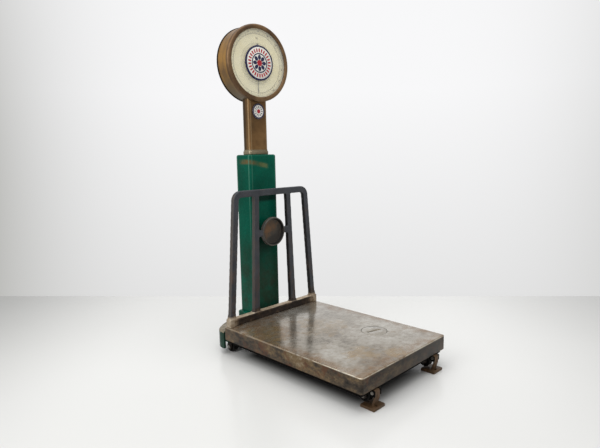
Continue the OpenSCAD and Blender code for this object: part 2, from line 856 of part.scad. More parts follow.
module bracket() {
    difference() {
        union() {
            translate([-32, -18, bracket_drop]) cube([64, 36, bracket_t]);
            for (s = [-1, 1]) translate([s * (cheek_in + cheek_t / 2) - cheek_t / 2, 0, 0]) {
                translate([0, -12, 0]) cube([cheek_t, 24, bracket_drop + e]);
                rotate([0, 90, 0]) cylinder(r = 12, h = cheek_t, $fn = 48);
            }
        }
        rod_x(axle_r + run, 80);
        for (s = [-1, 1]) translate([s * 26, 0, 0]) cylinder(r = 3 + run, h = 60);
    }
}

module at_front_wheels() {
    for (s = [-1, 1]) translate([s * front_x, front_axle_y, front_axle_z]) children();
}

module at_rear_wheels() {
    for (s = [-1, 1]) translate([s * rear_x, rear_axle_y, rear_axle_z]) children();
}

module front_brackets() {
    color(rusty) at_front_wheels() bracket();
}

module rear_brackets() {
    color(rusty) at_rear_wheels() bracket();
}

module bracket_bolt() {
    for (s = [-1, 1]) translate([s * 26, 0, bracket_drop]) {
        translate([0, 0, -4]) cylinder(r = 5.4, h = 4, $fn = 6);
        translate([0, 0, -e]) cylinder(r = 3, h = bracket_t + pad_t + 6);
        translate([0, 0, bracket_t + pad_t]) cylinder(r = 5.4, h = 4, $fn = 6);
    }
}

module bracket_bolts() {
    color(steel) {
        at_front_wheels() bracket_bolt();
        at_rear_wheels() bracket_bolt();
    }
}

module axle() {
    reach = cheek_in + cheek_t;
    rod_x(axle_r, 2 * reach + 8);
    for (s = [-1, 1]) translate([s * (reach + 2), 0, 0]) rod_x(8, 4, 6);
}

module wheel_axles() {
    color(steel) {
        at_front_wheels() axle();
        at_rear_wheels() axle();
    }
}

module wheel() {
    color(rusty) rotate([0, 90, 0]) translate([0, 0, -wheel_w / 2]) rotate_extrude($fn = 96)
        polygon([
            [axle_r + run, 0], [axle_r + 7, 0], [axle_r + 7, 5], [wheel_r - 6, 5],
            [wheel_r - 6, 1], [wheel_r - 1, 0], [wheel_r, 1.5], [wheel_r, wheel_w - 1.5],
            [wheel_r - 1, wheel_w], [wheel_r - 6, wheel_w - 1], [wheel_r - 6, wheel_w - 5],
            [axle_r + 7, wheel_w - 5], [axle_r + 7, wheel_w], [axle_r + run, wheel_w]
        ]);
}

module front_wheel(s) {
    translate([s * front_x, front_axle_y, front_axle_z]) wheel();
}

module rear_wheel(s) {
    translate([s * rear_x, rear_axle_y, rear_axle_z]) wheel();
}

module foot_pins() {
    color(steel) both_sides() translate([front_x, eye_y, eye_z]) {
        rod_x(pin_r, strap_w + 18);
        for (s = [-1, 1]) translate([s * (strap_w / 2 + 8.5), 0, 0]) rod_x(6, 3, 32);
    }
}

module parking_foot(s) {
    color(rusty) translate([s * front_x, 0, 0]) difference() {
        union() {
            translate([-sole_w / 2, front_y - toe_out, 0]) cube([sole_w, sole_l, sole_t]);
            // Strap that bends back under the wheel's front
            translate([-strap_w / 2, strap_y, 0]) rotate([90, 0, 90]) linear_extrude(strap_w)
                polygon([for (p = [[0, eye_z], [0, eye_z - 18], [2, eye_z - 28], [6, eye_z - 40],
                    [8, sole_t - e]]) [p[0] - strap_t / 2, p[1]],
                    for (p = [[8, sole_t - e], [6, eye_z - 40], [2, eye_z - 28], [0, eye_z - 18],
                    [0, eye_z]]) [p[0] + strap_t / 2, p[1]]]);
            translate([0, eye_y, eye_z]) rod_x(eye_r, strap_w, 48);
        }
        translate([0, eye_y, eye_z]) rod_x(pin_r + run, strap_w + 2);
    }
}

/* Lever works in the base */

module stand(z0) {
    cheek = 10;
    for (s = [-1, 1]) translate([s * (plate_x / 2 + 7) - cheek / 2, 0, 0]) difference() {
        translate([0, -block_half, z0]) cube([cheek, 2 * block_half, knife_z + knife_r - z0]);
        translate([-1, 0, knife_z - 0.2]) rotate([90, 0, 90]) linear_extrude(cheek + 2)
            polygon([[0, 0], [20 * tan(vee), 20], [-20 * tan(vee), 20]]);
    }
    translate([-plate_x / 2 - 12, -block_half, z0]) cube([plate_x + 24, 2 * block_half, 7]);
}

module front_stands() {
    color(iron) both_sides() translate([stand_x, fulcrum_y, 0]) stand(base_bot + shelf_t);
}

module rear_stands() {
    color(iron) both_sides() translate([stand_x, rear_fulcrum_y, 0]) stand(base_bot + shelf_t);
}

module long_knives(grow = 0) {
    both_sides() translate([stand_x, 0, 0]) {
        translate([0, fulcrum_y, knife_z + knife_r]) knife(2 * knife_reach, grow);
        translate([0, load_y, knife_z - knife_r]) knife(2 * knife_reach, grow);
    }
    translate([0, col_y, nose_tip + knife_r]) knife(48, grow);
}

module long_lever() {
    tube_y = (fulcrum_y + load_y) / 2;
    color(iron) difference() {
        union() {
            translate([0, tube_y, knife_z]) rod_x(tube_r, 2 * stand_x);
            both_sides() translate([stand_x - plate_x / 2, fulcrum_y - 12, knife_z - 14])
                cube([plate_x, short_arm + 24, 28]);
            translate([-beam_w / 2, 0, 0]) rotate([90, 0, 90]) linear_extrude(beam_w)
                polygon([[tube_y, knife_z + 10], [tube_y, knife_z - 10], [tube_y + 80, beam_bot],
                    [col_y + 14, beam_bot], [col_y + 14, beam_top], [tube_y + 80, beam_top]]);
            translate([-10, meet_y - 8, beam_top - 1]) cube([20, 16, knife_z - beam_top + 1]);
        }
        long_knives(run);
    }
}

module long_pivots() {
    color(steel) long_knives();
}

module short_knives(grow = 0) {
    both_sides() translate([stand_x, 0, 0]) {
        translate([0, rear_fulcrum_y, knife_z + knife_r]) knife(2 * knife_reach, grow);
        translate([0, rear_load_y, knife_z - knife_r]) knife(2 * knife_reach, grow);
    }
    translate([0, meet_y, knife_z + clear + knife_r]) knife(40, grow);
}

module short_lever() {
    tube_y = (rear_fulcrum_y + rear_load_y) / 2;
    color(iron) difference() {
        union() {
            translate([0, tube_y, knife_z + 10]) rod_x(tube_r, 2 * stand_x);
            both_sides() {
                translate([stand_x - plate_x / 2, rear_load_y - 12, knife_z - 14])
                    cube([plate_x, short_arm + 24, 36]);
                translate([20, meet_y - 9, knife_z + 2])
                    cube([10, tube_y - meet_y + 9, 14]);
            }
            translate([-30, meet_y - 9, knife_z + 2]) cube([60, 18, 14]);
        }
        short_knives(run);
    }
}

module short_pivots() {
    color(steel) short_knives();
}

/* Platform */

module platform_plate() {
    color(rusty) difference() {
        translate([0, (front_y + rear_y) / 2, skirt_z]) union() {
            round_block(plat_w, plat_l, skirt_h - 3, plat_r);
            translate([0, 0, skirt_h - 3 - e])
                round_block(plat_w - 3, plat_l - 3, 3 + e, plat_r - 1.5);
        }
        translate([0, (front_y + rear_y) / 2, skirt_z - 1])
            round_block(plat_w - 2 * skirt_t, plat_l - 2 * skirt_t, skirt_h - plate_t + 1,
                max(1, plat_r - skirt_t));
        // Slot in the rear skirt for the long lever
        translate([-beam_slot, rear_y - skirt_t - 1, skirt_z - 1])
            cube([2 * beam_slot, skirt_t + 2, beam_top + 6 - skirt_z + 1]);
        translate([plug_x, plug_y, plat_top - plug_t])
            cylinder(r = plug_r + clear, h = plug_t + 1, $fn = 96);
        translate([plug_x, plug_y, plate_z - 1]) cylinder(r = plug_r - 6, h = plate_t, $fn = 96);
        at_railing_bolts() cylinder(r = 5 + run, h = 60, center = true);
    }
}

module platform_plug() {
    color(rusty) translate([plug_x, plug_y, plat_top - plug_t]) difference() {
        cylinder(r = plug_r, h = plug_t, $fn = 96);
        translate([0, 0, 2]) rotate([0, 0, slot_turn]) {
            translate([-slot_l / 2 + slot_w / 2, -slot_w / 2, 0]) cube([slot_l - slot_w, slot_w, plug_t]);
            for (s = [-1, 1]) translate([s * (slot_l - slot_w) / 2, 0, 0])
                cylinder(r = slot_w / 2, h = plug_t, $fn = 32);
        }
    }
}

module platform_bearings() {
    color(iron) both_sides() for (y = [load_y, rear_load_y]) translate([stand_x, y, 0]) {
        translate([-plate_x / 2 - 12, -block_half, plate_z - 8])
            cube([plate_x + 24, 2 * block_half, 8]);
        for (s = [-1, 1]) translate([s * (plate_x / 2 + 7) - 5, 0, 0]) difference() {
            translate([0, -block_half, knife_z - knife_r])
                cube([10, 2 * block_half, plate_z - knife_z + knife_r - 8 + e]);
            translate([-1, 0, knife_z + 0.2]) rotate([90, 0, 90]) linear_extrude(12)
                polygon([[0, 0], [20 * tan(vee), -20], [-20 * tan(vee), -20]]);
        }
    }
}

/* Railing */

module at_railing_bolts() {
    for (s = [-1, 1], x = [rail_bolt_x, sill_w / 2 - rail_bolt_in])
        translate([s * x, rail_back - bar_d / 2, plate_z]) children();
}

// A bar of the railing between two heights, given by its middle and width at each
module slant_bar(x0, z0, w0, x1, z1, w1) {
    polygon([[x0 - w0 / 2, z0], [x0 + w0 / 2, z0], [x1 + w1 / 2, z1], [x1 - w1 / 2, z1]]);
}

module rail_outline() {
    low_z = sill_h - 2;
    out_low = rail_w_low / 2 + 2;
    out_top = rail_w_top / 2;
    corner_z = rail_h - rail_r;
    both_halves() {
        slant_bar(out_low - bar_w / 2, low_z, bar_w, out_top - bar_w / 2, corner_z, bar_w);
        slant_bar(inner_low, low_z, bar_w + 4, inner_top, rail_h - bar_w, bar_w - 2);
        translate([out_top - rail_r, corner_z]) intersection() {
            difference() {
                circle(r = rail_r, $fn = 72);
                circle(r = rail_r - bar_w, $fn = 72);
            }
            square(rail_r + 1);
        }
        translate([inner_top + 8 - lug_l, dish_z - lug_h / 2]) square([lug_l, lug_h]);
    }
    translate([rail_r - out_top, rail_h - bar_w + 1]) square([2 * (out_top - rail_r), bar_w - 1]);
    translate([0, dish_z]) circle(r = dish_r, $fn = 96);
}

// Both halves of a flat outline
module both_halves() {
    children();
    mirror([1, 0]) children();
}

module back_railing() {
    end_w = 25;
    color(iron) difference() {
        union() {
            translate([0, rail_back, plat_top]) rotate([90, 0, 0])
                linear_extrude(bar_d) rail_outline();
            // Foot rail with a top flange, a web and two end blocks
            translate([-sill_w / 2, rail_back - bar_d - sill_ahead, plat_top + sill_h - 10])
                cube([sill_w, sill_d, 10]);
            translate([-sill_w / 2, rail_back - bar_d + 2, plat_top])
                cube([sill_w, bar_d - 4, sill_h - 9]);
            both_sides()
                translate([sill_w / 2 - end_w, rail_back - bar_d - sill_ahead, plat_top])
                    cube([end_w, sill_d, sill_h]);
        }
        translate([0, rail_back - bar_d - 1, plat_top + dish_z]) rod_y(dish_r - 8, 15, 96);
        at_railing_bolts() cylinder(r = 5 + run, h = plate_t + 24);
    }
}

module railing_bolts() {
    color(steel) at_railing_bolts() {
        translate([0, 0, -5]) cylinder(r = 9, h = 5, $fn = 6);
        translate([0, 0, -e]) cylinder(r = 5, h = plate_t + 20);
    }
}

base_frame();
rear_box();
column_foot();
column_shell();
column_bolts();
column_cover();
column_cover_screws();
neck_collar();
neck_tube();
badge_rim();
badge_plate();
dial_case();
dial_bezel();
dial_glass();
glass_ring();
dial_plate();
centre_roundel();
case_cover();
case_cover_screws();
movement_frame();
movement_bridge();
movement_screws();
front_brackets();
rear_brackets();
bracket_bolts();
wheel_axles();
foot_pins();
front_stands();
rear_stands();
dashpot_cylinder();
platform_plate();
platform_plug();
back_railing();
railing_bolts();
platform_bearings();
long_lever();
long_pivots();
short_lever();
short_pivots();
draft_rod();
crosshead();
rack();
pull_ribbon();
dashpot_piston();
pendulum_sector();
pendulum_stem();
pendulum_bob();
pointer_shaft();
pointer();
front_wheel(-1);  // front_wheel_left
front_wheel(1);  // front_wheel_right
rear_wheel(-1);  // rear_wheel_left
rear_wheel(1);  // rear_wheel_right
parking_foot(-1);  // parking_foot_left
parking_foot(1);  // parking_foot_right
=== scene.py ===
# %% [markdown]
# # A portable platform scale with a dial head
# The scale stands on four small wheels. A steel covered platform rests on levers in a low iron
# base, a green column behind it carries a brass neck and a round dial. This notebook dresses the
# measured frame of the machine: it adds the rounded castings, the printed dial and the worn finishes.
# Every number below is in millimetres unless it says otherwise, and `MM` turns it into metres.

# %% Load the measured frame
import json
import math

import bpy
from mathutils import Matrix, Vector


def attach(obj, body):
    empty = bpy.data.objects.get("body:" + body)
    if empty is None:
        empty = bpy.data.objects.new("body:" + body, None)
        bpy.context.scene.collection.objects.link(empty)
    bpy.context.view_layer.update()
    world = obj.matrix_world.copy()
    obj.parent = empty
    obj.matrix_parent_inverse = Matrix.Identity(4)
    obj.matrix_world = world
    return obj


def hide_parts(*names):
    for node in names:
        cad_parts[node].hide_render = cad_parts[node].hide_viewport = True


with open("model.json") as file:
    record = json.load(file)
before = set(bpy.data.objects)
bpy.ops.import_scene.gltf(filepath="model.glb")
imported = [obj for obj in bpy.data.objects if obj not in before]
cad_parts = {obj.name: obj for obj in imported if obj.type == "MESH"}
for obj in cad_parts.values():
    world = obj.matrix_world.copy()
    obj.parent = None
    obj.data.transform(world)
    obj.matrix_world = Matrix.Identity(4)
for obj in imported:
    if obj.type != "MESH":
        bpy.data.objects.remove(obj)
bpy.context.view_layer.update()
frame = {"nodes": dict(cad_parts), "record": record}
MM = 0.001
# The column's middle, front to back
COLUMN_Y = 391.6

# %% [markdown]
# ## Camera
# The photograph was taken from the left front corner with a wide lens. The camera's axes were worked
# out from the platform's edges, so they are written as three directions instead of angles.

# %% Camera
eye = Vector((-1.5097, -1.3994, 0.8707))
right = Vector((0.70482, -0.70912, -0.01909))
up = Vector((0.11145, 0.08413, 0.99020))
back = right.cross(up)
bpy.ops.object.camera_add(location=eye)
camera = bpy.context.object
camera.name = "camera"
camera.data.lens = 29.62
camera.data.sensor_width = 36
camera.rotation_mode = "QUATERNION"
camera.rotation_quaternion = Matrix((right, up, back)).transposed().to_quaternion()
bpy.context.scene.camera = camera
bpy.context.scene.view_settings.view_transform = "Standard"
print("camera height:", round(eye.z, 2), "m")

# %% [markdown]
# ## Small helpers
# Everything is modelled the way it is done by hand: add a primitive, pick faces or edges by their
# place, run an edit operator, and finish with a modifier that is applied. These helpers keep those
# steps short. Each piece ends with its origin at the world's origin and its place in its mesh.

# %% Helpers for picking and shaping
def deselect():
    bpy.ops.object.select_all(action="DESELECT")


def only(piece):
    deselect()
    piece.select_set(True)
    bpy.context.view_layer.objects.active = piece


def apply_place(piece):
    """Moves a piece's place, turn and size into its mesh."""
    only(piece)
    bpy.ops.object.transform_apply(location=True, rotation=True, scale=True)
    return piece


def settle(name):
    """Names the new primitive and moves its place into its mesh."""
    piece = apply_place(bpy.context.object)
    piece.name = piece.data.name = name
    return piece


def block(name, low, high):
    """A cube primitive between two corners."""
    low, high = Vector(low) * MM, Vector(high) * MM
    deselect()
    bpy.ops.mesh.primitive_cube_add(size=1, location=(low + high) / 2, scale=high - low)
    return settle(name)


def side_block(name, side, low, high):
    """A block written for the right side (1), made there or on the left side (-1)."""
    left, far = sorted((side * low[0], side * high[0]))
    return block(name, (left, *low[1:]), (far, *high[1:]))


def rod(name, centre, axis, radius, length, sides=64):
    """A cylinder primitive about its middle, along Y or Z."""
    deselect()
    bpy.ops.mesh.primitive_cylinder_add(
        vertices=sides, radius=radius * MM, depth=length * MM, location=Vector(centre) * MM,
        rotation=(math.pi / 2 if axis == "Y" else 0, 0, 0))
    return settle(name)


def edit(piece):
    only(piece)
    bpy.ops.object.mode_set(mode="EDIT")


def done():
    bpy.ops.object.mode_set(mode="OBJECT")


def whole(piece):
    """Opens a piece in edit mode with everything selected."""
    edit(piece)
    bpy.ops.mesh.select_mode(type="VERT")
    bpy.ops.mesh.select_all(action="SELECT")


def pick(piece, kind, test):
    """Selects faces by centre and normal, or edges by their two ends, and stays in edit mode."""
    edit(piece)
    bpy.ops.mesh.select_mode(type=kind)
    bpy.ops.mesh.select_all(action="DESELECT")
    done()
    mesh = piece.data
    if kind == "FACE":
        for face in mesh.polygons:
            face.select = bool(test(face.center / MM, face.normal))
    else:
        for edge in mesh.edges:
            a, b = (mesh.vertices[i].co / MM for i in edge.vertices)
            edge.select = bool(test(a, b))
    bpy.ops.object.mode_set(mode="EDIT")


def close_seams():
    """Merges doubled points in edit mode, turns the faces outwards and goes back to object mode."""
    bpy.ops.mesh.select_all(action="SELECT")
    bpy.ops.mesh.remove_doubles(threshold=1e-6)
    bpy.ops.mesh.normals_make_consistent(inside=False)
    done()


def smooth(piece, angle):
    only(piece)
    bpy.ops.object.shade_smooth_by_angle(angle=math.radians(angle))


def modify(piece, kind, **settings):
    """Adds a modifier, sets it and applies it."""
    only(piece)
    step = piece.modifiers.new(kind.title(), kind)
    for key, value in settings.items():
        setattr(step, key, value)
    bpy.ops.object.modifier_apply(modifier=step.name)


def soften(piece, width, segments, angle=30):
    modify(piece, "BEVEL", width=width * MM, segments=segments, limit_method="ANGLE",
           angle_limit=math.radians(angle), harden_normals=False)
    smooth(piece, 40)


def cut(piece, tool, operation="DIFFERENCE"):
    modify(piece, "BOOLEAN", operation=operation, object=tool, solver="EXACT")
    bpy.data.objects.remove(tool)


def gather(name, pieces):
    """Joins separate meshes into one object without fusing them."""
    only(pieces[0])
    for piece in pieces:
        piece.select_set(True)
    if len(pieces) > 1:
        bpy.ops.object.join()
    pieces[0].name = pieces[0].data.name = name
    return pieces[0]


def round_picked(width, segments):
    bpy.ops.mesh.bevel(offset=width * MM, segments=segments, affect="EDGES", profile=0.5)
    done()


def round_uprights(piece, radius, segments=8):
    pick(piece, "EDGE", lambda a, b: abs(a.x - b.x) < 0.01 and abs(a.y - b.y) < 0.01)
    round_picked(radius, segments)


def round_top(piece, top, width, segments):
    pick(piece, "EDGE", lambda a, b: min(a.z, b.z) > top - 0.1)
    round_picked(width, segments)


def turned(name, points, centre, steps=96, axis=(0, 1, 0)):
    """Spins an outline of (radius, distance along the axis) about an axis, like a lathe.
    An outline that starts and ends on the axis stays open there and makes a solid disc."""
    middle = Vector(centre) * MM
    spots = [middle + (Vector((0, 0, 1)) * r + Vector(axis) * d) * MM for r, d in points]
    deselect()
    bpy.ops.mesh.primitive_plane_add(size=0.001, location=spots[0])
    piece = settle(name)
    whole(piece)
    bpy.ops.mesh.merge(type="CENTER")
    solid = points[0][0] == 0 and points[-1][0] == 0
    for before, after in zip(spots, spots[1:] + ([] if solid else spots[:1])):
        bpy.ops.mesh.extrude_vertices_move(TRANSFORM_OT_translate={"value": after - before})
    bpy.ops.mesh.select_all(action="SELECT")
    bpy.ops.mesh.spin(steps=steps, angle=2 * math.pi, center=middle, axis=axis)
    close_seams()
    smooth(piece, 35)
    return piece


# %% [markdown]
# ## Finishes
# Old paint, brass and iron are never one flat colour. Each finish mixes slow and fine noise in
# Object coordinates, so that the pattern stays on the piece when it moves, and uses the same noise
# for roughness and a little bump.

# %% Node helpers
def linear(*colour):
    """A colour as it is read off a screen, 0 to 255, turned into the linear values a shader wants."""
    shares = [value / 255 for value in colour]
    return (*(s / 12.92 if s <= 0.04045 else ((s + 0.055) / 1.055) ** 2.4 for s in shares), 1)


class Nodes:
    """The few kinds of node that the finishes and the world are made of. Colours are screen colours."""

    def __init__(self, tree):
        self.tree = tree

    def node(self, kind, values=None, **settings):
        made = self.tree.nodes.new(kind)
        for key, value in settings.items():
            setattr(made, key, value)
        for key, value in (values or {}).items():
            if isinstance(value, bpy.types.NodeSocket):
                self.tree.links.new(value, made.inputs[key])
            else:
                made.inputs[key].default_value = value
        return made

    def ramp(self, value, *stops):
        """stops are (place, colour or grey)."""
        made = self.node("ShaderNodeValToRGB", {"Fac": value})
        band = made.color_ramp
        while len(band.elements) < len(stops):
            band.elements.new(0.5)
        for element, (place, colour) in zip(band.elements, stops):
            element.position = place
            element.color = linear(*colour) if isinstance(colour, tuple) else (colour, colour, colour, 1)
        return made.outputs["Color"]

    def mix(self, amount, first, second, blend="MIX"):
        first, second = (linear(*v) if isinstance(v, tuple) else v for v in (first, second))
        return self.node("ShaderNodeMix", {0: amount, 6: first, 7: second}, data_type="RGBA",
                         blend_type=blend).outputs[2]

    def math(self, operation, *values):
        return self.node("ShaderNodeMath", dict(enumerate(values)), operation=operation).outputs[0]

    def times(self, first, second):
        return self.math("MULTIPLY", first, second)

    def plus(self, first, second):
        return self.math("ADD", first, second)

    def minus(self, first, second):
        return self.math("SUBTRACT", first, second)

    def most(self, first, second):
        return self.math("MAXIMUM", first, second)

    def away(self, value, middle=0):
        """How far value lies from middle, on either side."""
        return self.math("ABSOLUTE", self.minus(value, middle))

    def along(self, place, direction):
        return self.node("ShaderNodeVectorMath", {0: place, 1: direction},
                         operation="DOT_PRODUCT").outputs["Value"]

    def spread(self, value, low, high, start=0.0, end=1.0):
        """Runs smoothly from start to end while value goes from low to high."""
        return self.node("ShaderNodeMapRange", {"Value": value, "From Min": low, "From Max": high,
                                                "To Min": start, "To Max": end},
                         interpolation_type="SMOOTHSTEP").outputs["Result"]

    def near(self, value, middle, reach, soft):
        """1 where value lies within reach of middle, fading to 0 over soft. All in metres."""
        return self.spread(self.away(value, middle), reach, reach + soft, 1.0, 0.0)


class Finish(Nodes):
    """One material, with its shader and the place on the piece: x, y and z are in metres."""

    def __init__(self, name, roughness=0.5, metallic=0.0, shine=0.5):
        self.material = bpy.data.materials.new(name)
        self.material.use_nodes = True
        super().__init__(self.material.node_tree)
        self.shader = self.tree.nodes["Principled BSDF"]
        for key, value in (("Roughness", roughness), ("Metallic", metallic),
                           ("Specular IOR Level", shine)):
            self.shader.inputs[key].default_value = value
        where = self.node("ShaderNodeTexCoord")
        self.place, self.direction = where.outputs["Object"], where.outputs["Normal"]
        self.x, self.y, self.z = self.node("ShaderNodeSeparateXYZ", {0: self.place}).outputs

    def over(self, below, above, *amounts):
        """Lays a colour over another, as thickly as the amounts, multiplied, say."""
        amount = amounts[0]
        for another in amounts[1:]:
            amount = self.times(amount, another)
        return self.mix(amount, below, above)

    def noise(self, scale, detail=4, roughness=0.55, stretch=(1, 1, 1), shift=(0, 0, 0)):
        where = self.node("ShaderNodeMapping", {"Vector": self.place, "Scale": stretch,
                                                "Location": shift})
        made = self.node("ShaderNodeTexNoise", {"Vector": where.outputs[0], "Scale": scale,
                                                "Detail": detail, "Roughness": roughness})
        return made.outputs["Fac"]

    def patches(self, low, high, scale, detail, roughness, start=0.0, end=1.0, **settings):
        """Ragged patches: start where the noise is below low, end where it is above high."""
        return self.ramp(self.noise(scale, detail, roughness, **settings), (low, start), (high, end))

    def facing(self, letter):
        """One part of the surface's direction in the object: 1 is straight along that axis."""
        return self.node("ShaderNodeSeparateXYZ", {"Vector": self.direction}).outputs[letter]

    def edge_lines(self, half_x, half_y):
        """Painted highlights: thin upright lines where a rounded corner starts, on the column's or the
        neck's faces.
        """
        on_front = self.near(self.away(self.x), half_x * MM, 0.0008, 0.0035)
        on_side = self.near(self.away(self.y, COLUMN_Y * MM), half_y * MM, 0.0008, 0.0035)
        return self.most(self.times(on_front, 0.6), on_side)

    def colour(self, socket):
        self.tree.links.new(socket, self.shader.inputs["Base Color"])

    def rough(self, value, low, high):
        made = self.node("ShaderNodeMapRange", {"Value": value, "To Min": low, "To Max": high})
        self.tree.links.new(made.outputs["Result"], self.shader.inputs["Roughness"])

    def bump(self, height, strength, distance):
        made = self.node("ShaderNodeBump", {"Height": height, "Strength": strength, "Distance": distance})
        self.tree.links.new(made.outputs["Normal"], self.shader.inputs["Normal"])


# %% [markdown]
# ### Green enamel
# The column and the rear box were sprayed a deep glossy green. Long use has rubbed it to an
# olive brown band near the column's top and dulled lower down, so the colour drifts slowly.

# %% Green enamel
def green_enamel(name, column=False, dusty=False):
    coat = Finish(name, shine=0.08)
    slow = coat.noise(5, 5, 0.6)
    green = coat.ramp(slow, (0.3, (0, 62, 47)), (0.5, (1, 78, 61)), (0.7, (3, 93, 73)))
    dirty = coat.patches(0.46, 0.66, 9, 6, 0.7, shift=(3, 1, 2))
    low = coat.spread(coat.z, 0.2, 0.62, 0.85, 0.1)
    paint = coat.over(green, (36, 52, 39), dirty, low)
    chips = coat.patches(0.70, 0.72, 38, 8, 0.75, shift=(1, 5, 7))
    paint = coat.over(paint, (92, 84, 52), chips, 0.7)
    if column:
        # A slanting rub mark under the top, from the left side over most of the front
        slanted = coat.plus(coat.z, coat.times(coat.x, 0.2))
        band = coat.near(slanted, 0.8285, 0.003, 0.013)
        stops = coat.spread(coat.x, 0.012, 0.034, 1.0, 0.0)
        broken = coat.patches(0.34, 0.56, 17, 6, 0.7, stretch=(1, 1, 2), start=0.25)
        stops = coat.times(stops, coat.spread(coat.y, 0.385, 0.43, 1.0, 0.0))
        rub = coat.times(coat.times(band, stops), broken)
        tone = coat.ramp(coat.spread(coat.x, -0.08, 0.03), (0.0, (112, 84, 50)), (0.5, (92, 88, 48)),
                         (1.0, (128, 122, 74)))
        paint = coat.over(paint, tone, rub, 0.78)
        # Painted highlight: pale lines along the rounded front corners, brighter towards the top
        shine = coat.times(coat.edge_lines(69, 41), coat.spread(coat.z, 0.4, 0.87, 0.12, 0.45))
        paint = coat.over(paint, (96, 146, 126), shine)
        # Painted shade on the front face: darker behind the dish and under the railing's top bar, where
        # the railing keeps the light off
        behind_dish_shade = coat.times(coat.near(coat.x, -0.01, 0.045, 0.03), coat.near(coat.z, 0.49, 0.035, 0.05))
        under_bar_shade = coat.times(coat.near(coat.z, 0.680, 0.010, 0.016), 1.35)
        shade = coat.times(coat.most(behind_dish_shade, under_bar_shade), coat.spread(coat.facing("Y"), -0.9, -0.5, 0.6, 0.0))
        paint = coat.over(paint, (6, 22, 18), shade)
        # Low on the front face the green turns darker and browner
        low_front_darkening = coat.times(coat.spread(coat.facing("Y"), -0.9, -0.5, 0.55, 0.2),
                           coat.spread(coat.z, 0.3, 0.52, 1.0, 0.0))
        paint = coat.over(paint, (52, 50, 38), low_front_darkening,
                          coat.patches(0.35, 0.6, 12, 6, 0.7, shift=(6, 2, 4), start=0.3))
    if dusty:
        lying = coat.spread(coat.facing("Z"), 0.3, 0.75)
        rubbed = coat.patches(0.3, 0.6, 14, 7, 0.7, start=0.55)
        tan = coat.ramp(coat.noise(30, 6, 0.7), (0.35, (118, 106, 88)), (0.7, (160, 148, 128)))
        paint = coat.over(paint, (44, 50, 43), 0.65)
        paint = coat.over(paint, tan, lying, rubbed)
    coat.colour(paint)
    coat.rough(coat.noise(60, 6, 0.65), 0.18, 0.36)
    coat.bump(coat.noise(25, 5, 0.6), 0.2, 0.0005)
    return coat.material


# %% [markdown]
# ### Aged brass
# The neck and the drum are brass sheet that was brushed around the machine. The brushing makes fine
# streaks, so the noise is squeezed along one axis. Age makes it brown, with golden rubbed places.

# %% Aged brass
def aged_brass(name, dark=(70, 52, 34), middle=(108, 80, 48), gold=(158, 118, 62), streak=(1, 1, 0.3),
               density=40, lines=0.2, shift=(0, 0, 0), metallic=0.7, roughness=(0.32, 0.5), corners=None,
               low=None):
    coat = Finish(name, metallic=metallic)
    cloud = coat.noise(5.5, 5, 0.6, shift=shift)
    fine = coat.noise(density, 3, 0.5, stretch=streak)
    both = coat.plus(coat.times(cloud, 1 - lines), coat.times(fine, lines))
    body = coat.ramp(both, (0.36, dark), (0.5, middle), (0.64, gold))
    spots = coat.patches(0.6, 0.75, 55, 8, 0.75, shift=(4, 4, 4))
    body = coat.over(body, (58, 44, 30), spots, 0.45)
    # Painted highlights: pale lines where the rounded corners start. The back part of the side faces is
    # darkened.
    if corners is not None:
        body = coat.over(body, (196, 168, 128), coat.edge_lines(*corners), 0.5)
        far = coat.times(coat.spread(coat.away(coat.facing("X")), 0.6, 0.9),
                         coat.spread(coat.y, 0.384, 0.4, 0.0, 0.75))
        body = coat.over(body, (44, 36, 28), far)
    # Painted reflection and shade: a greyer, darker brown over the piece's lower part
    if low is not None:
        body = coat.over(body, low, coat.spread(coat.z, 1.15, 1.25, 0.75, 0.0))
    coat.colour(body)
    coat.rough(coat.noise(40, 5, 0.6), *roughness)
    coat.bump(fine, 0.06, 0.0003)
    return coat.material


# %% [markdown]
# ### Cast iron
# The railing, levers and feet are sand cast iron: dark grey, slightly pebbled, with rust where water
# stays. One recipe with three colours makes both the grey railing and the rusty running gear.

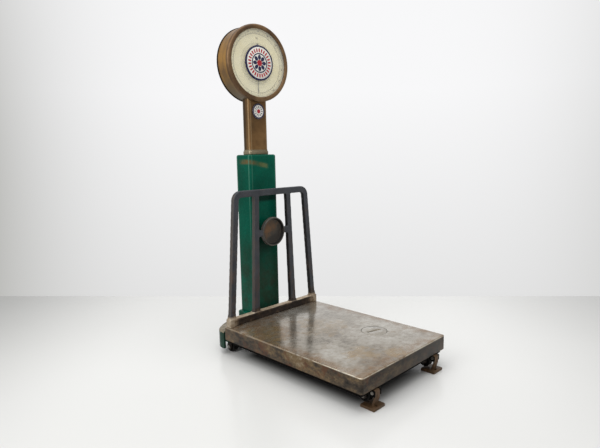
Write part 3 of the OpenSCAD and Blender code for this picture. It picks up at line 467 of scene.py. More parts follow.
# %% Cast iron
def cast_iron(name, grey, light, rust, rust_from=0.58, roughness=(0.45, 0.75), metallic=0.35,
              railing=False, shine=0.5):
    coat = Finish(name, metallic=metallic, shine=shine)
    slow = coat.noise(11, 6, 0.65)
    body = coat.ramp(slow, (0.3, grey), (0.72, light))
    patch = coat.patches(rust_from, rust_from + 0.12, 16, 8, 0.7, shift=(7, 2, 5))
    body = coat.over(body, rust, patch, 0.8)
    if railing:
        # Painted shade: the bars' sides that face the middle are made almost black
        side = coat.times(coat.facing("X"), coat.math("SIGN", coat.x))
        black = coat.spread(side, -0.75, -0.4, 0.9, 0.0)
        body = coat.over(body, (16, 15, 16), black)
        # The outward sides are lighter and browner, and rust speckles the lower half
        outward = coat.spread(side, 0.5, 0.9, 0.0, 0.55)
        body = coat.over(body, (88, 80, 71), outward)
        speckle = coat.patches(0.5, 0.64, 22, 8, 0.75, stretch=(1, 1, 0.4), shift=(4, 1, 8))
        lower = coat.spread(coat.z, 0.2, 0.66, 0.75, 0.1)
        body = coat.over(body, (92, 72, 60), speckle, lower)
        # The foot rail is brown with rust, its top is rubbed pale
        ragged = coat.patches(0.3, 0.6, 24, 7, 0.7, shift=(2, 9, 4), end=0.05)
        low = coat.spread(coat.minus(coat.z, ragged), 0.13, 0.172, 1.0, 0.0)
        brown = coat.ramp(coat.noise(32, 7, 0.7), (0.4, (40, 33, 30)), (0.55, (58, 46, 38)),
                          (0.68, (104, 86, 66)))
        body = coat.over(body, brown, low)
        lying = coat.times(coat.spread(coat.facing("Z"), 0.5, 0.9),
                           coat.spread(coat.z, 0.172, 0.178, 1.0, 0.0))
        pale = coat.ramp(coat.noise(28, 7, 0.7, shift=(1, 1, 0)), (0.34, (124, 102, 82)),
                         (0.5, (176, 158, 134)), (0.66, (204, 190, 168)))
        ends = coat.times(coat.spread(coat.away(coat.x), 0.215, 0.24),
                          coat.spread(coat.z, 0.172, 0.182, 0.7, 0.0))
        body = coat.over(body, pale, coat.most(lying, ends))
    coat.colour(body)
    coat.rough(slow, *roughness)
    coat.bump(coat.noise(140, 5, 0.6), 0.3, 0.0005)
    return coat.material


# %% [markdown]
# ### Dish
# The dish of the railing has gathered brown dirt in its hollow, and its raised rim is rubbed grey.
# The distance from the dish's axis tells the two apart.

# %% Dish iron
def dish_iron(name, centre_z):
    coat = Finish(name, metallic=0.3)
    across = coat.x
    height = coat.minus(coat.z, centre_z * MM)
    away = coat.math("SQRT", coat.plus(coat.times(across, across), coat.times(height, height)))
    slow = coat.noise(14, 6, 0.65)
    rim = coat.ramp(slow, (0.3, (58, 54, 50)), (0.7, (92, 87, 80)))
    # Rust noise in the hollow, with a painted highlight: lighter and more orange towards the upper left
    rusty = coat.plus(coat.noise(16, 7, 0.7, shift=(5, 5, 5)),
                      coat.times(coat.minus(height, across), 2.2))
    floor_tone = coat.ramp(rusty, (0.35, (48, 43, 38)), (0.52, (66, 60, 52)), (0.7, (106, 76, 48)))
    body = coat.over(rim, floor_tone, coat.spread(away, 0.0555, 0.0575, 1.0, 0.0))
    # The steep wall between the two is in its own shadow
    body = coat.over(body, (16, 14, 13), coat.near(away, 0.0580, 0.0020, 0.0012))
    coat.colour(body)
    coat.rough(slow, 0.4, 0.65)
    coat.bump(coat.noise(130, 5, 0.6), 0.25, 0.0004)
    return coat.material


# %% Plain steel of pins, bolts and knife edges
def plain_steel(name):
    coat = Finish(name, metallic=0.9)
    slow = coat.noise(40, 5, 0.6)
    coat.colour(coat.ramp(slow, (0.3, (92, 88, 82)), (0.7, (150, 146, 140))))
    coat.rough(coat.noise(120, 4, 0.6), 0.3, 0.5)
    coat.bump(coat.noise(200, 3, 0.5), 0.1, 0.0003)
    return coat.material


# %% Glass, dial paint and enamel
def clear_glass(name):
    coat = Finish(name, roughness=0.05)
    coat.shader.inputs["Base Color"].default_value = (0.95, 0.98, 0.97, 1)
    coat.shader.inputs["Alpha"].default_value = 0.1
    coat.shader.inputs["IOR"].default_value = 1.45
    coat.rough(coat.noise(12, 4, 0.6), 0.03, 0.12)
    return coat.material


def dial_paint(name):
    coat = Finish(name)
    slow = coat.noise(9, 5, 0.6)
    cream = coat.ramp(slow, (0.3, (242, 230, 184)), (0.7, (250, 242, 206)))
    spots = coat.patches(0.66, 0.8, 85, 8, 0.7)
    coat.colour(coat.over(cream, (186, 170, 120), spots, 0.35))
    coat.rough(slow, 0.45, 0.6)
    return coat.material


def enamel(name, colour, roughness=(0.12, 0.25), worn=(180, 170, 150), wear=0.35, shine=0.5):
    coat = Finish(name, shine=shine)
    spots = coat.patches(0.64, 0.74, 120, 6, 0.7)
    coat.colour(coat.over(colour, worn, spots, wear))
    coat.rough(coat.noise(30, 4, 0.6), *roughness)
    return coat.material


# %% [markdown]
# ### The platform's worn steel
# Use has polished the top until it mirrors the railing, while rust keeps creeping in from the
# edges. Height tells the top from the skirt: the skirt is darker, duller and streaked.

# %% Worn deck
def worn_deck(name):
    coat = Finish(name, metallic=0.6)
    slow = coat.noise(4.5, 8, 0.68)
    fine = coat.noise(45, 8, 0.7)
    both = coat.plus(coat.times(slow, 0.65), coat.times(fine, 0.35))
    body = coat.ramp(both, (0.38, (112, 105, 94)), (0.5, (156, 149, 137)), (0.62, (188, 184, 175)))
    broken = coat.patches(0.38, 0.6, 24, 9, 0.78, shift=(2, 2, 5), start=0.15)
    ragged = coat.noise(13, 7, 0.7, shift=(6, 3, 1))

    def patch(x, y, reach, ragging=0.3):
        """A ragged round patch: 1 in its middle, 0 well outside."""
        away = coat.node("ShaderNodeVectorMath", {0: coat.place, 1: (x, y, 0.128)},
                         operation="DISTANCE").outputs["Value"]
        bent = coat.plus(away, coat.times(coat.minus(ragged, 0.5), ragging))
        return coat.spread(bent, reach * 0.55, reach, 1.0, 0.0)

    # The border is brown, most of all at the back left corner
    inward_x = coat.spread(coat.away(coat.x), 0.19, 0.275)
    inward_y = coat.spread(coat.away(coat.plus(coat.y, 0.062)), 0.28, 0.375)
    border = coat.plus(coat.times(coat.most(inward_x, inward_y), 0.34), ragged)
    border = coat.spread(border, 0.5, 0.86)
    border = coat.most(border, patch(-0.27, 0.24, 0.3))
    border = coat.times(border, broken)
    top = coat.over(body, (128, 98, 64), border, 0.85)
    ochre = coat.most(patch(-0.1, -0.325, 0.085), patch(0.0, -0.37, 0.06))
    ochre = coat.most(ochre, coat.times(patch(0.01, -0.02, 0.11, 0.5), 0.6))
    ochre = coat.most(ochre, coat.times(patch(-0.24, 0.1, 0.1, 0.5), 0.9))
    ochre = coat.times(ochre, broken)
    top = coat.over(top, (150, 124, 84), ochre, 0.75)
    stains = coat.patches(0.56, 0.66, 16, 7, 0.72, shift=(5, 7, 1), end=0.5)
    top = coat.over(top, (108, 92, 70), stains)
    # Painted highlight: a bright line along the rounded top edge, in broken patches, fainter towards the
    # back
    rubbed = coat.patches(0.38, 0.5, 30, 6, 0.7, shift=(1, 4, 2), end=0.7)
    rubbed = coat.times(rubbed, coat.spread(coat.y, -0.3, 0.1, 1.0, 0.25))
    top = coat.over(top, (232, 224, 206), coat.near(coat.z, 0.1284, 0.0009, 0.0008), rubbed)
    # The skirt is blotched with rust of every age, darker in front
    blots = coat.noise(9, 9, 0.78, stretch=(1, 1, 1.6), shift=(3, 3, 0))
    skirt = coat.ramp(blots, (0.37, (28, 23, 19)), (0.45, (58, 50, 41)), (0.52, (86, 72, 55)),
                      (0.58, (112, 92, 64)), (0.68, (140, 126, 104)))
    reddish = coat.patches(0.52, 0.6, 17, 8, 0.75, shift=(9, 2, 6), end=0.65)
    skirt = coat.over(skirt, (92, 56, 34), reddish)
    ahead = coat.spread(coat.facing("Y"), -0.8, -0.4, 1.0, 0.0)
    right_part = coat.spread(coat.x, -0.24, -0.1, 0.1, 0.6)
    skirt = coat.over(skirt, (26, 21, 15), ahead, right_part)
    side = coat.spread(coat.z, 0.1245, 0.1275, 1.0, 0.0)
    coat.colour(coat.over(top, skirt, side))
    dull = coat.plus(coat.times(coat.most(border, ochre), 0.3), slow)
    dull = coat.plus(dull, coat.times(side, 0.7))
    coat.rough(dull, 0.0, 0.36)
    waves = coat.noise(3.2, 3, 0.5, shift=(8, 1, 3))
    height = coat.plus(coat.times(waves, 6.0), fine)
    coat.bump(height, 0.12, 0.0006)
    return coat.material


# %% Put a first finish on every piece of the frame
finishes = {
    "green_paint": green_enamel("green enamel"),
    "brass": aged_brass("aged brass"),
    "enamel": enamel("white enamel", (232, 230, 222)),
    "glass": clear_glass("dial glass"),
    "dial_cream": dial_paint("dial paint"),
    "black_paint": enamel("pointer grey", (92, 86, 74), (0.4, 0.6), (60, 55, 50)),
    "deck": worn_deck("worn deck"),
    "grey_iron": cast_iron("grey casting", (50, 50, 54), (80, 80, 84), (86, 70, 56)),
    "rusty_iron": cast_iron("rusty casting", (26, 21, 18), (58, 45, 34), (84, 58, 38), 0.56,
                            (0.5, 0.8), 0.2),
    "steel": plain_steel("plain steel"),
}
slot_of = {part["node"]: part["material_slot"] for part in frame["record"]["subparts"]}
for node_name, node in frame["nodes"].items():
    node.data.materials.clear()
    node.data.materials.append(finishes[slot_of[node_name]])
print("finishes:", len(finishes), "pieces:", len(frame["nodes"]))

# %% [markdown]
# ## Dressing the frame
# A measured piece is right in size but sharp and bare. A dressed piece replaces it: the same size,
# with rounded edges, printed marks and its own finish. `dress` attaches it to what it rides on and hides
# what it stands for.

# %% Helpers for dressed pieces
def dress(piece, finish, body, slot, *nodes):
    piece.data.materials.clear()
    piece.data.materials.append(finish)
    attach(piece, body)
    if nodes:
        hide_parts(*nodes)


def twin(piece, name, shift=(0, 0, 0)):
    """A copy with its own mesh, moved in the mesh."""
    copy = bpy.data.objects.new(name, piece.data.copy())
    bpy.context.collection.objects.link(copy)
    copy.location = Vector(shift) * MM
    return apply_place(copy)


def softened(node_name, name, width, segments=2):
    """A merged copy of a measured piece whose sharp edges are broken."""
    piece = twin(frame["nodes"][node_name], name)
    whole(piece)
    bpy.ops.mesh.remove_doubles(threshold=1e-6)
    bpy.ops.mesh.dissolve_limited(angle_limit=math.radians(0.5))
    done()
    soften(piece, width, segments, 35)
    return piece


# %% [markdown]
# ## The dial head
# The head is a brass drum with a rolled bead at its back edge. Like a real drum it is spun: one
# outline of radius and depth goes round the axis. The whole head stands a few degrees askew on its
# neck, so every head piece is made square first and then turned about the column's middle.

# %% Drum
DIAL_Z = 1283.7
BEZEL_Y = 343.5
HEAD_TURN = -3.5


def onto_head(piece):
    centre = Vector((0, COLUMN_Y, 0)) * MM
    piece.matrix_world = (Matrix.Translation(centre) @ Matrix.Rotation(math.radians(HEAD_TURN), 4, "Z")
                          @ Matrix.Translation(-centre))
    return apply_place(piece)


drum = turned("drum_case",
              [(161, 12.5), (165, 12.5), (165, 60), (165.4, 72), (165, 84), (165, 92), (162, 93),
               (150, 92.6), (140, 93), (140, 89), (161, 89), (161, 23), (120, 23), (120, 19),
               (161, 19)],
              (0, BEZEL_Y, DIAL_Z), 128)
cut(drum, block("rod_window", (-20, COLUMN_Y - 15, DIAL_Z - 170), (20, COLUMN_Y + 15, DIAL_Z - 150)))
smooth(onto_head(drum), 35)
# The bead's outline is an arc of 160 degrees, closed on the drum's wall
angles = [math.radians(-75 + 20 * step) for step in range(9)]
round_part = [(165 + 3.5 * math.cos(a), 88.5 + 3.5 * math.sin(a)) for a in angles]
bead = turned("drum_bead", [(165.05, 85), *round_part, (165.05, 92)], (0, BEZEL_Y, DIAL_Z), 128)
smooth(onto_head(bead), 50)
print("drum faces:", len(drum.data.polygons))

# %% [markdown]
# ### Bezel
# The bezel is a heavy cast ring with a rounded front that holds the glass. Its outline bulges, so
# that a soft highlight runs all the way round it.

# %% Bezel
bezel = turned("bezel_ring",
               [(149, 4), (149, 2.6), (149.6, 1.4), (151.2, 0.6), (154, 0.15), (158, 0), (162, 0.5),
                (165.2, 1.6), (167.4, 3.4), (168.6, 5.6), (169, 8.2), (169, 17.4), (168.4, 18),
                (165.05, 18), (165.05, 12.5), (154, 12.5), (154, 4)], (0, BEZEL_Y, DIAL_Z), 128)
onto_head(bezel)
print("bezel faces:", len(bezel.data.polygons))

# %% [markdown]
# ### Printed scale
# The dial reads to 300 kg in one turn of the pointer, 344 degrees, from the bottom clockwise. One
# tick is modelled at zero and spun into a ring of copies. The numbers are text turned into mesh.

# %% Dial ticks and rings
DIAL_FACE = 360.5
FULL_LOAD = 300
FULL_TURN = 344.0


def ring_of(piece, count, angle, middle):
    """Copies everything in the piece round an axis through the middle, along Y."""
    whole(piece)
    bpy.ops.mesh.spin(steps=count, dupli=True, angle=math.radians(angle), center=Vector(middle) * MM,
                      axis=(0, 1, 0))
    done()
    return piece


def ticks(width, outer, step):
    """A ring of ticks, one for every step kilograms."""
    tick = block("tick", (-width / 2, DIAL_FACE - 0.25, DIAL_Z - outer),
                 (width / 2, DIAL_FACE, DIAL_Z - 129))
    return ring_of(tick, FULL_LOAD // step, FULL_TURN, (0, BEZEL_Y, DIAL_Z))


marks = [ticks(0.45, 133, 1), ticks(0.7, 135, 5), ticks(1.0, 136.5, 10)]
marks += [turned("ring", [(r, 0), (r + w, 0), (r + w, -0.25), (r, -0.25)], (0, DIAL_FACE, DIAL_Z), 128)
          for r, w in ((128.4, 0.7), (146.6, 0.5), (88, 0.5))]
dial_marks = onto_head(gather("dial_marks", marks))
print("dial marks:", len(dial_marks.data.polygons), "faces")

# %% Dial numbers
def lettering(body, size, x, z, turn=0.0):
    """Flat text on the dial, made a mesh before it gets its place."""
    deselect()
    bpy.ops.object.text_add()
    text = bpy.context.object.data
    text.body, text.size = body, size * MM
    text.align_x = text.align_y = "CENTER"
    text.resolution_u = 2
    text.extrude = 0.125 * MM
    text.offset = 0.0001
    bpy.ops.object.convert(target="MESH")
    place = Matrix.Translation(Vector((x, DIAL_FACE - 0.125, z)) * MM)
    bpy.context.object.matrix_world = (place @ Matrix.Rotation(turn, 4, "Y")
                                       @ Matrix.Rotation(math.pi / 2, 4, "X"))
    return settle("number")


numbers = []
for load in range(0, FULL_LOAD, 20):
    angle = math.radians(load * FULL_TURN / FULL_LOAD)
    numbers.append(lettering(str(load), 8.5, -141.4 * math.sin(angle), DIAL_Z - 141.4 * math.cos(angle),
                             angle + math.pi))
numbers.append(lettering("kg", 13, 0, DIAL_Z + 112))
dial_numbers = gather("dial_numbers", numbers)
whole(dial_numbers)
close_seams()
onto_head(dial_numbers)
print("dial numbers:", len(dial_numbers.data.polygons), "faces")

# %% [markdown]
# ### Roundel
# The enamelled disc in the middle is fixed on the glass and stands proud of it. It carries a plain
# ornament in red and navy: a ring of short bars round an eight leaved rosette.

# %% Roundel on the dial and badge on the neck
def rosette(kind, z, radius, front):
    """Marks of one colour: 'red' for the bars and the middle, 'navy' for the ring and the leaves.

    The small 'cherry' and 'night' pair has a wide dark ring, a bigger middle and no leaves.
    """
    size = radius / 70
    thick = 0.35

    def disc(reach):
        return rod("middle", (0, front - thick / 2, z), "Y", reach * size, thick, 32)

    def hoop(inner, outer):
        return turned("hoop", [(inner * size, 0), (outer * size, 0), (outer * size, -thick),
                               (inner * size, -thick)], (0, front, z), 64)

    def around(piece, count):
        ring_of(piece, count, 360, (0, front, z))
        whole(piece)
        bpy.ops.mesh.remove_doubles(threshold=1e-6)
        done()
        return piece

    def bars(width, inner, outer, count):
        return around(block("bar", (-width * size, front - thick, z + inner * size),
                            (width * size, front, z + outer * size)), count)

    if kind == "red":
        return [bars(3.4, 47, 63, 26), disc(13.5)]
    if kind == "cherry":
        return [disc(20)]
    if kind == "night":
        return [hoop(59, 69.6), bars(3.2, 30, 50, 12)]
    leaf = rod("leaf", (0, front - thick / 2, z + 25 * size), "Y", 1, thick, 20)
    whole(leaf)
    bpy.ops.transform.resize(value=(8.2 * size, 1, 11 * size),
                             center_override=Vector((0, front, z + 25 * size)) * MM)
    done()
    return [hoop(38, 43), around(leaf, 8)]


ROUNDEL_Y = BEZEL_Y - 1
plate = turned("roundel_plate", [(0, 0.5), (69.6, 0.5), (70.2, 0.9), (70.2, 5), (0, 5)],
               (0, ROUNDEL_Y, DIAL_Z), 96)
edge_ring = turned("roundel_rim",
                   [(69.0, 5), (69.0, 0.5), (70.0, 0.1), (72.5, 0), (75.2, 0.2), (76.5, 0.9), (77, 1.9),
                    (77, 5)], (0, ROUNDEL_Y, DIAL_Z), 96)
roundel_front = ROUNDEL_Y + 0.55
reds = gather("roundel_red", rosette("red", DIAL_Z, 70, roundel_front))
navies = gather("roundel_navy", rosette("navy", DIAL_Z, 70, roundel_front))
for piece in (plate, edge_ring, reds, navies):
    onto_head(piece)

BADGE_Z = DIAL_Z - 210.7
BADGE_Y = 363.1
badge_cup = turned("badge_cup", [(0, 2.05), (33.05, 2.05), (33.05, 0.5), (33.8, 0), (35.1, 0.1), (36, 1),
                                 (36, 3.45), (0, 3.45)], (0, BADGE_Y, BADGE_Z), 64)
badge_red = gather("badge_red", rosette("cherry", BADGE_Z, 33, BADGE_Y))
badge_navy = gather("badge_navy", rosette("night", BADGE_Z, 33, BADGE_Y))
print("ornament pieces: 6")

# %% [markdown]
# ## Neck
# The neck is a folded brass tube with round upright edges. A block has its upright edges bevelled,
# its ends opened and its wall thickened inwards; the drum's cylinder then bites its upper end.

# %% Neck and collar
COLUMN_TOP = 876.7
neck = block("neck_sleeve", (-54, COLUMN_Y - 25, 898), (54, COLUMN_Y + 25, 1201.2))
round_uprights(neck, 10)
pick(neck, "FACE", lambda centre, normal: abs(normal.z) > 0.9)
bpy.ops.mesh.delete(type="FACE")
done()
modify(neck, "SOLIDIFY", thickness=4 * MM, offset=-1)
cut(neck, onto_head(rod("bite", (0, COLUMN_Y, DIAL_Z), "Y", 165.05, 140, 128)))
smooth(neck, 30)

collar = block("neck_bead", (-58.5, COLUMN_Y - 29.5, COLUMN_TOP), (58.5, COLUMN_Y + 29.5, 893))
round_uprights(collar, 14.5, 10)
pick(collar, "EDGE", lambda a, b: abs(a.z - b.z) < 0.01)
round_picked(3, 5)
pick(collar, "FACE", lambda centre, normal: normal.z > 0.99 and centre.z > 892)
bpy.ops.mesh.extrude_region_move(TRANSFORM_OT_translate={"value": (0, 0, 6 * MM)})
done()
well = block("well", (-50, COLUMN_Y - 21, 870), (50, COLUMN_Y + 21, 905))
round_uprights(well, 6)
cut(collar, well)
smooth(collar, 40)
print("neck faces:", len(neck.data.polygons))

# %% [markdown]
# ## Column and its foot
# The column is a pressed steel box, painted thick enough that every edge looks soft. Its top edge
# has a larger radius than its upright edges have at the foot, where it stands in a cast plinth.

# %% Column
FOOT_TOP = 135.5


def hollow(piece, top):
    """Cuts the column's inner room, up to a height, out of a piece."""
    inside = block("inside", (-74.5, COLUMN_Y - 46, 100), (74.5, COLUMN_Y + 46, top))
    round_uprights(inside, 6, 4)
    cut(piece, inside)


column = block("column_box", (-80.5, COLUMN_Y - 52, FOOT_TOP), (80.5, COLUMN_Y + 52, COLUMN_TOP))
round_uprights(column, 12)
round_top(column, COLUMN_TOP, 9, 6)
hollow(column, COLUMN_TOP - 8)
cut(column, rod("rod_hole", (0, COLUMN_Y, COLUMN_TOP), "Z", 18, 30, 48))
cut(column, block("hatch", (-38, COLUMN_Y, 235.5), (38, COLUMN_Y + 60, 736.7)))
smooth(column, 30)

plinth = block("column_plinth", (-98.5, COLUMN_Y - 60, 106), (98.5, COLUMN_Y + 55, FOOT_TOP))
round_uprights(plinth, 12)
round_top(plinth, FOOT_TOP, 4, 4)
hollow(plinth, 150)
smooth(plinth, 30)
print("column faces:", len(column.data.polygons))

# %% [markdown]
# ## Base castings
# The base and the rear box were cast in sand, so no edge on them is sharp. The measured castings are
# merged, flattened into clean faces and given a small bevel.

# %% Base, rear box, brackets
base = softened("base_frame", "base_casting", 1.5)
box = softened("rear_box", "rear_box_casting", 2.5, 3)
front_forks = softened("front_brackets", "front_forks", 1.2)
rear_forks = softened("rear_brackets", "rear_forks", 1.2)
print("base faces:", len(base.data.polygons), "box faces:", len(box.data.polygons))

# %% [markdown]
# ## Platform
# The platform is a thick plate with a skirt all round. Its top edge is rounded by wear and catches a
# bright line of light. A round cover with a lifting slot lies flush in it.

# %% Platform plate
FRONT_Y = -442.5
REAR_Y = 318.5
PLATE_TOP = 131.0
deck = block("platform_top", (-275, FRONT_Y, 72), (275, REAR_Y, PLATE_TOP))
round_uprights(deck, 10, 6)
round_top(deck, PLATE_TOP, 4.5, 5)
inside = block("inside", (-268, FRONT_Y + 7, 60), (268, REAR_Y - 7, PLATE_TOP - 9))
round_uprights(inside, 3, 3)
cut(deck, inside)
cut(deck, block("beam_gate", (-16, REAR_Y - 9, 60), (16, REAR_Y + 2, 90)))
PLUG = (120, FRONT_Y + 242)
cut(deck, rod("recess", (*PLUG, PLATE_TOP), "Z", 55.4, 12, 96))
cut(deck, rod("hand_hole", (*PLUG, PLATE_TOP), "Z", 48, 40, 96))
smooth(deck, 35)

plug = rod("round_cover", (*PLUG, PLATE_TOP - 3), "Z", 53.2, 6, 96)
slot = block("slot", (-35.5, -4.5, PLATE_TOP - 5.5), (35.5, 4.5, PLATE_TOP + 4))
round_uprights(slot, 4.4, 6)
slot.matrix_world = (Matrix.Translation(Vector((*PLUG, 0)) * MM)
                     @ Matrix.Rotation(math.radians(-16.4), 4, "Z"))
cut(plug, apply_place(slot))
soften(plug, 1.2, 2)
print("deck faces:", len(deck.data.polygons))

# %% [markdown]
# ## Railing
# The railing is one iron casting. Its bars are swept blocks that overlap; a voxel remesh melts them
# into one skin and a few rounds of smoothing leave the soft fillets that a sand mould leaves.

# %% Railing bars
RAIL_Y = 288.5
RAIL_TOP = 722.0
DISH_Z = 523.0


def slanted_bar(name, low, low_width, high, high_width, depth=20):
    """An upright bar between two (x, z) points; its upper end is moved and resized in edit mode."""
    bar = block(name, (low[0] - low_width / 2, RAIL_Y - depth / 2, low[1]),
                (low[0] + low_width / 2, RAIL_Y + depth / 2, high[1]))
    pick(bar, "FACE", lambda centre, normal: normal.z > 0.9)
    bpy.ops.transform.resize(value=(high_width / low_width, 1, 1),
                             center_override=Vector((low[0], RAIL_Y, high[1])) * MM)
    bpy.ops.transform.translate(value=Vector((high[0] - low[0], 0, 0)) * MM)
    done()
    return bar


def rail_corner(side):
    """A quarter of a ring whose section is the bar's."""
    corner = turned("rail_corner", [(16, -10), (45, -10), (45, 10), (16, 10)],
                    (side * 182, RAIL_Y, 677), 64)
    cut(corner, side_block("keep", side, (181, RAIL_Y - 30, 676), (240, RAIL_Y + 30, 730)),
        "INTERSECT")
    return corner


bars = []
for side in (-1, 1):
    bars.append(slanted_bar("outer_bar", (side * 253, 160), 29, (side * 212.5, 678), 29))
    bars.append(slanted_bar("inner_bar", (side * 115.5, 160), 33, (side * 96.5, 700), 27))
    bars.append(rail_corner(side))
    # The arms that hold the dish flare towards the bars
    arm = side_block("dish_arm", side, (58, RAIL_Y - 8, DISH_Z - 12), (106, RAIL_Y + 9, DISH_Z + 12))
    pick(arm, "FACE", lambda centre, normal: normal.x * side > 0.9)
    bpy.ops.transform.resize(value=(1, 1, 1.5), center_override=Vector((side * 106, RAIL_Y, DISH_Z)) * MM)
    done()
    bars.append(arm)
    # A swelling at the foot of each bar
    for x, width in ((side * 253, 40), (side * 115.5, 46)):
        bars.append(slanted_bar("bar_foot", (x, 160), width, (x, 186), 28, 22))
bars.append(block("top_rail", (-183, RAIL_Y - 10, 693), (183, RAIL_Y + 10, RAIL_TOP)))
bars.append(block("sill_flange", (-273.5, 272.5, 156.5), (273.5, 304.5, 167)))
bars.append(block("sill_web", (-273.5, 281, 131), (273.5, 296.5, 160)))
for side in (-1, 1):
    bars.append(side_block("sill_end", side, (249, 272.5, 131), (273.5, 304.5, 167)))
railing = gather("cast_railing", bars)
modify(railing, "REMESH", mode="VOXEL", voxel_size=2.4 * MM, use_smooth_shade=True)
modify(railing, "SMOOTH", factor=0.5, iterations=4)
modify(railing, "DECIMATE", decimate_type="COLLAPSE", ratio=0.6)
print("railing triangles:", sum(len(f.vertices) - 2 for f in railing.data.polygons))

# %% Dish in the railing
dish = turned("railing_dish",
              [(0, 4.2), (44, 4.4), (54, 3.8), (57.4, 2.2), (58.8, -1), (59.2, -7), (60.2, -9.2),
               (62.4, -10), (65, -9.7), (66.6, -8.2), (67, -5), (67, 6), (65.5, 8.6), (62, 9.6),
               (40, 10), (0, 10)],
              (0, RAIL_Y, DISH_Z))
print("dish faces:", len(dish.data.polygons))

# %% [markdown]
# ## Wheels and parking feet
# Four cast wheels roll on steel axles between forks. In front, two hinged feet carry the machine
# while it weighs. One wheel and one foot are modelled, and the others are copies.

# %% Wheels
half = [(5.05, -13.5), (11, -13.5), (12, -12.6), (12.4, -8.4), (14, -8), (17.5, -8), (18.6, -9),
        (19.2, -12.4), (20.4, -13.5), (23.4, -13.5), (24.7, -12.4), (25, -10.4)]
outline = half + [(radius, -along) for radius, along in reversed(half)]
wheel = turned("wheel_pattern", outline, (0, 0, 0), 64, (1, 0, 0))
wheels = {}
for place, x, y, z in (("front_wheel_left", -198, -401.5, 38), ("front_wheel_right", 198, -401.5, 38),
                       ("rear_wheel_left", -220, 332.5, 25), ("rear_wheel_right", 220, 332.5, 25)):
    wheels[place] = twin(wheel, "cast_" + place, (x, y, z))
bpy.data.objects.remove(wheel)
print("wheels:", len(wheels))

# %% Parking feet
foot = softened("parking_foot_left", "parking_foot_pattern", 1.4)
groove = rod("groove", (-203, -453.4, 30), "Z", 5, 64, 24)
whole(groove)
bpy.ops.transform.rotate(value=math.radians(-8), orient_axis="X",
                         center_override=Vector((-203, -453.4, 50)) * MM)
done()
cut(foot, groove)
smooth(foot, 40)
feet = {side: twin(foot, "cast_parking_foot_" + side, (x, 0, 0))
        for side, x in (("left", 0), ("right", 396))}
bpy.data.objects.remove(foot)
print("feet:", len(feet))

# %% [markdown]
# ## Finishes for the dressed pieces
# Each dressed piece gets its own variant of a finish where the real one differs: the drum is streaked
# round its axis, the bezel is browner, the column is rubbed near its top.

# %% Dress every piece
# The drum's lower part gets a painted reflection and shade in greyer brown
drum_brass = aged_brass("drum brass", (88, 70, 50), (126, 97, 62), (176, 132, 68), streak=(0.1, 1, 0.1),
                        density=28, lines=0.35, shift=(1, 2, 0), metallic=0.6, low=(96, 86, 66))
bezel_brass = aged_brass("bezel brass", (80, 60, 41), (104, 78, 52), (138, 108, 75), shift=(5, 1, 2),
                         metallic=0.6, roughness=(0.38, 0.55))
neck_brass = aged_brass("neck brass", (88, 66, 40), (114, 84, 50), (140, 106, 66), streak=(1, 1, 0.8),
                        shift=(2, 6, 1), density=18, corners=(45, 16), roughness=(0.36, 0.5))
collar_brass = aged_brass("collar brass", (92, 82, 64), (122, 110, 88), (150, 138, 114), shift=(3, 1, 1),
                          roughness=(0.2, 0.32))
navy = enamel("navy enamel", (20, 20, 66), (0.15, 0.3), (60, 60, 84), 0.2)
red = enamel("red enamel", (172, 20, 40), (0.15, 0.3), (150, 90, 80), 0.2)
rim_enamel = enamel("badge rim", (52, 34, 48), (0.3, 0.5), (96, 74, 60), 0.5)
mark_ink = enamel("dial ink", (128, 112, 80), (0.5, 0.65), (160, 146, 112))
number_ink = enamel("number ink", (112, 94, 66), (0.5, 0.65), (140, 124, 96))
# Near black and almost without shine, so the bead shows as a dark line along the drum's back edge
dark_bead_finish = enamel("bead black", (26, 20, 16), (0.55, 0.75), (60, 46, 34), 0.4, 0.05)
wheel_iron = cast_iron("wheel casting", (8, 7, 6), (24, 20, 17), (58, 42, 31), 0.62, (0.5, 0.75), 0.1,
                       shine=0.2)
# Painted shade: the base casting is made almost black, with hardly any shine, for the shade under the
# platform's skirt
painted_shade_base_iron = cast_iron("base casting", (4, 4, 4), (14, 12, 10), (30, 23, 18), 0.6, (0.6, 0.85), 0.0,
                      shine=0.05)
foot_iron = cast_iron("foot casting", (58, 42, 27), (104, 77, 48), (112, 78, 46), 0.58, (0.4, 0.7), 0.3)
railing_iron = cast_iron("railing casting", (50, 52, 57), (76, 78, 84), (92, 78, 64), 0.6, railing=True)

# Each row: the piece, its finish, the material slot and the measured node that it stands for
on_base = (
    (drum, drum_brass, "brass", "dial_case"),
    (bead, dark_bead_finish, "brass"),
    (bezel, bezel_brass, "brass", "dial_bezel"),
    (dial_marks, mark_ink, "dial_cream"),
    (dial_numbers, number_ink, "dial_cream"),
    (plate, finishes["enamel"], "enamel", "centre_roundel"),
    (edge_ring, navy, "enamel"),
    (reds, red, "enamel"),
    (navies, navy, "enamel"),
    (badge_cup, rim_enamel, "brass", "badge_rim"),
    (badge_red, red, "enamel"),
    (badge_navy, navy, "enamel"),
    (neck, neck_brass, "brass", "neck_tube"),
    (collar, collar_brass, "brass", "neck_collar"),
    (column, green_enamel("column green", column=True), "green_paint", "column_shell"),
    (plinth, finishes["green_paint"], "green_paint", "column_foot"),
    (base, painted_shade_base_iron, "rusty_iron", "base_frame"),
    (box, green_enamel("rear box green", dusty=True), "green_paint", "rear_box"),
    (front_forks, finishes["rusty_iron"], "rusty_iron", "front_brackets"),
    (rear_forks, finishes["rusty_iron"], "rusty_iron", "rear_brackets"),
)
on_platform = (
    (deck, finishes["deck"], "deck", "platform_plate"),
    (plug, finishes["deck"], "deck", "platform_plug"),
    (railing, railing_iron, "grey_iron", "back_railing"),
    (dish, dish_iron("dish casting", DISH_Z), "grey_iron"),
)
for body, rows in (("base", on_base), ("platform", on_platform)):
    for piece, finish, slot, *stands_for in rows:
        dress(piece, finish, body, slot, *stands_for)
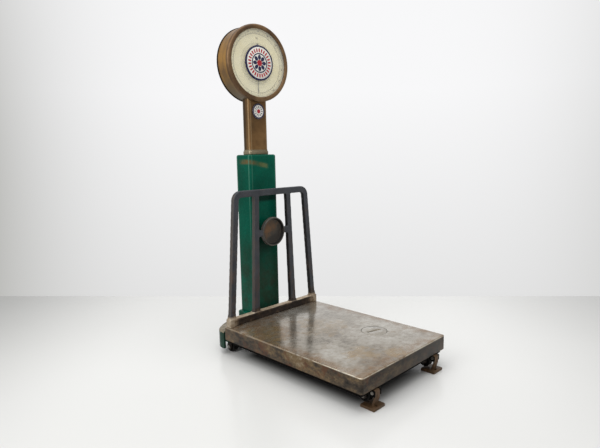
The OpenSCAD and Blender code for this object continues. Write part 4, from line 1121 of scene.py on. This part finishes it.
for place, piece in wheels.items():
    dress(piece, wheel_iron, place, "rusty_iron", place)
for side, piece in feet.items():
    dress(piece, foot_iron, "parking_foot_" + side, "rusty_iron", "parking_foot_" + side)
print("dressed pieces:", len(on_base) + len(on_platform) + len(wheels) + len(feet))

# %% [markdown]
# ## Studio
# A white sweep: the floor is a pale glossy sheet whose far edge meets the pale world at the height
# where the photograph has its soft line. Two large soft lamps and the world light the object plainly.

# %% Floor
FOCAL_PIXELS = 493.7
look = -back
flat_look = Vector((look.x, look.y, 0)).normalized()
flat_side = Vector((flat_look.y, -flat_look.x, 0))


def on_floor(column, row):
    """The place on the floor that the camera sees at a pixel of the 600 by 448 picture."""
    ray = look + right * (column - 300) / FOCAL_PIXELS + up * (224 - row) / FOCAL_PIXELS
    return eye - ray * (eye.z / ray.z)


deselect()
bpy.ops.mesh.primitive_plane_add(size=1)
floor = bpy.context.object
floor.name = "studio_floor"
far_left, far_right = on_floor(-260, 296), on_floor(860, 296)
corners = (far_left - flat_look * 9 - flat_side * 4, far_right - flat_look * 9 + flat_side * 4,
           far_left, far_right)
for vertex, corner in zip(floor.data.vertices, corners):
    vertex.co = (corner.x, corner.y, -0.0005)
paper = Finish("studio floor", roughness=0.22)
# Painted shade: the floor darkens towards both sides, most on the left, and towards the near edge
aside = paper.along(paper.place, flat_side)
painted_falloff = paper.times(paper.spread(aside, -2.15, -0.8, 0.55, 1.0), paper.spread(aside, 0.6, 2.1, 1.0, 0.6))
painted_falloff = paper.times(painted_falloff, paper.spread(aside, -0.9, 0.3, 0.92, 1.0))
painted_falloff = paper.times(painted_falloff, paper.spread(paper.along(paper.place, flat_look), -0.66, 0.14, 0.92, 1.0))
pale = paper.ramp(paper.noise(0.7, 2), (0.2, (237, 237, 234)), (0.8, (242, 242, 240)))
lit = paper.mix(1.0, pale, painted_falloff, "MULTIPLY")
# Painted shadow: the floor under the base is made almost black, as hardly any light reaches it
painted_shadow_under_base = paper.times(paper.spread(paper.away(paper.x), 0.18, 0.262, 1.0, 0.0),
                      paper.spread(paper.away(paper.y, -0.075), 0.28, 0.37, 1.0, 0.0))
paper.colour(paper.mix(paper.times(painted_shadow_under_base, 0.93), lit, (16, 15, 14)))
floor.data.materials.append(paper.material)
print("floor reaches", round((far_left - eye).length, 1), "m from the camera")

# %% [markdown]
# ### Backdrop and lamps
# The camera and anything shiny see a pale backdrop that fades towards its edges. Everything else is
# lit by a weaker even fill, so that the lamps do the modelling.

# %% World
world = bpy.data.worlds.new("studio")
bpy.context.scene.world = world
world.use_nodes = True
world.node_tree.nodes.clear()
sky = Nodes(world.node_tree)
# The backdrop fades a little towards both sides and towards the floor
direction = sky.node("ShaderNodeTexCoord").outputs["Generated"]
sideways = sky.away(sky.along(direction, flat_side), 0.045)
edge = sky.times(sky.math("POWER", sideways, 5.0), 13.0)
sunk = sky.times(sky.most(sky.minus(0.12, sky.along(direction, (0, 0, 1))), 0), 0.75)
clear = sky.times(sky.minus(1.0, sky.math("MINIMUM", edge, 0.75)), sky.minus(1.0, sunk))
tone = sky.ramp(sky.minus(1.0, clear), (0.0, (248, 248, 249)), (1.0, (172, 172, 168)))
seen = sky.node("ShaderNodeBackground", {"Color": tone, "Strength": 1.0}).outputs[0]
fill = sky.node("ShaderNodeBackground", {"Color": (1, 1, 1, 1), "Strength": 0.55}).outputs[0]
path = sky.node("ShaderNodeLightPath").outputs
shown = sky.most(path["Is Camera Ray"], sky.most(path["Is Transmission Ray"], path["Is Glossy Ray"]))
choose = sky.node("ShaderNodeMixShader", {0: shown, 1: fill, 2: seen}).outputs[0]
sky.node("ShaderNodeOutputWorld", {0: choose})
print("world nodes:", len(world.node_tree.nodes))


# %% Lamps
def lamp(name, place, aim, size, power):
    bpy.ops.object.light_add(type="AREA", location=place)
    made = bpy.context.object
    made.name = name
    made.data.shape = "RECTANGLE"
    made.data.size, made.data.size_y = size
    made.data.energy = power
    made.rotation_mode = "QUATERNION"
    made.rotation_quaternion = (Vector(aim) - Vector(place)).to_track_quat("-Z", "Y")


lamp("overhead_lamp", (-0.3, -0.2, 3.2), (0, 0, 0.4), (3.0, 3.0), 55)
lamp("left_lamp", (-2.6, 0.3, 1.9), (0, 0.1, 0.7), (1.6, 2.2), 30)
print("studio ready")
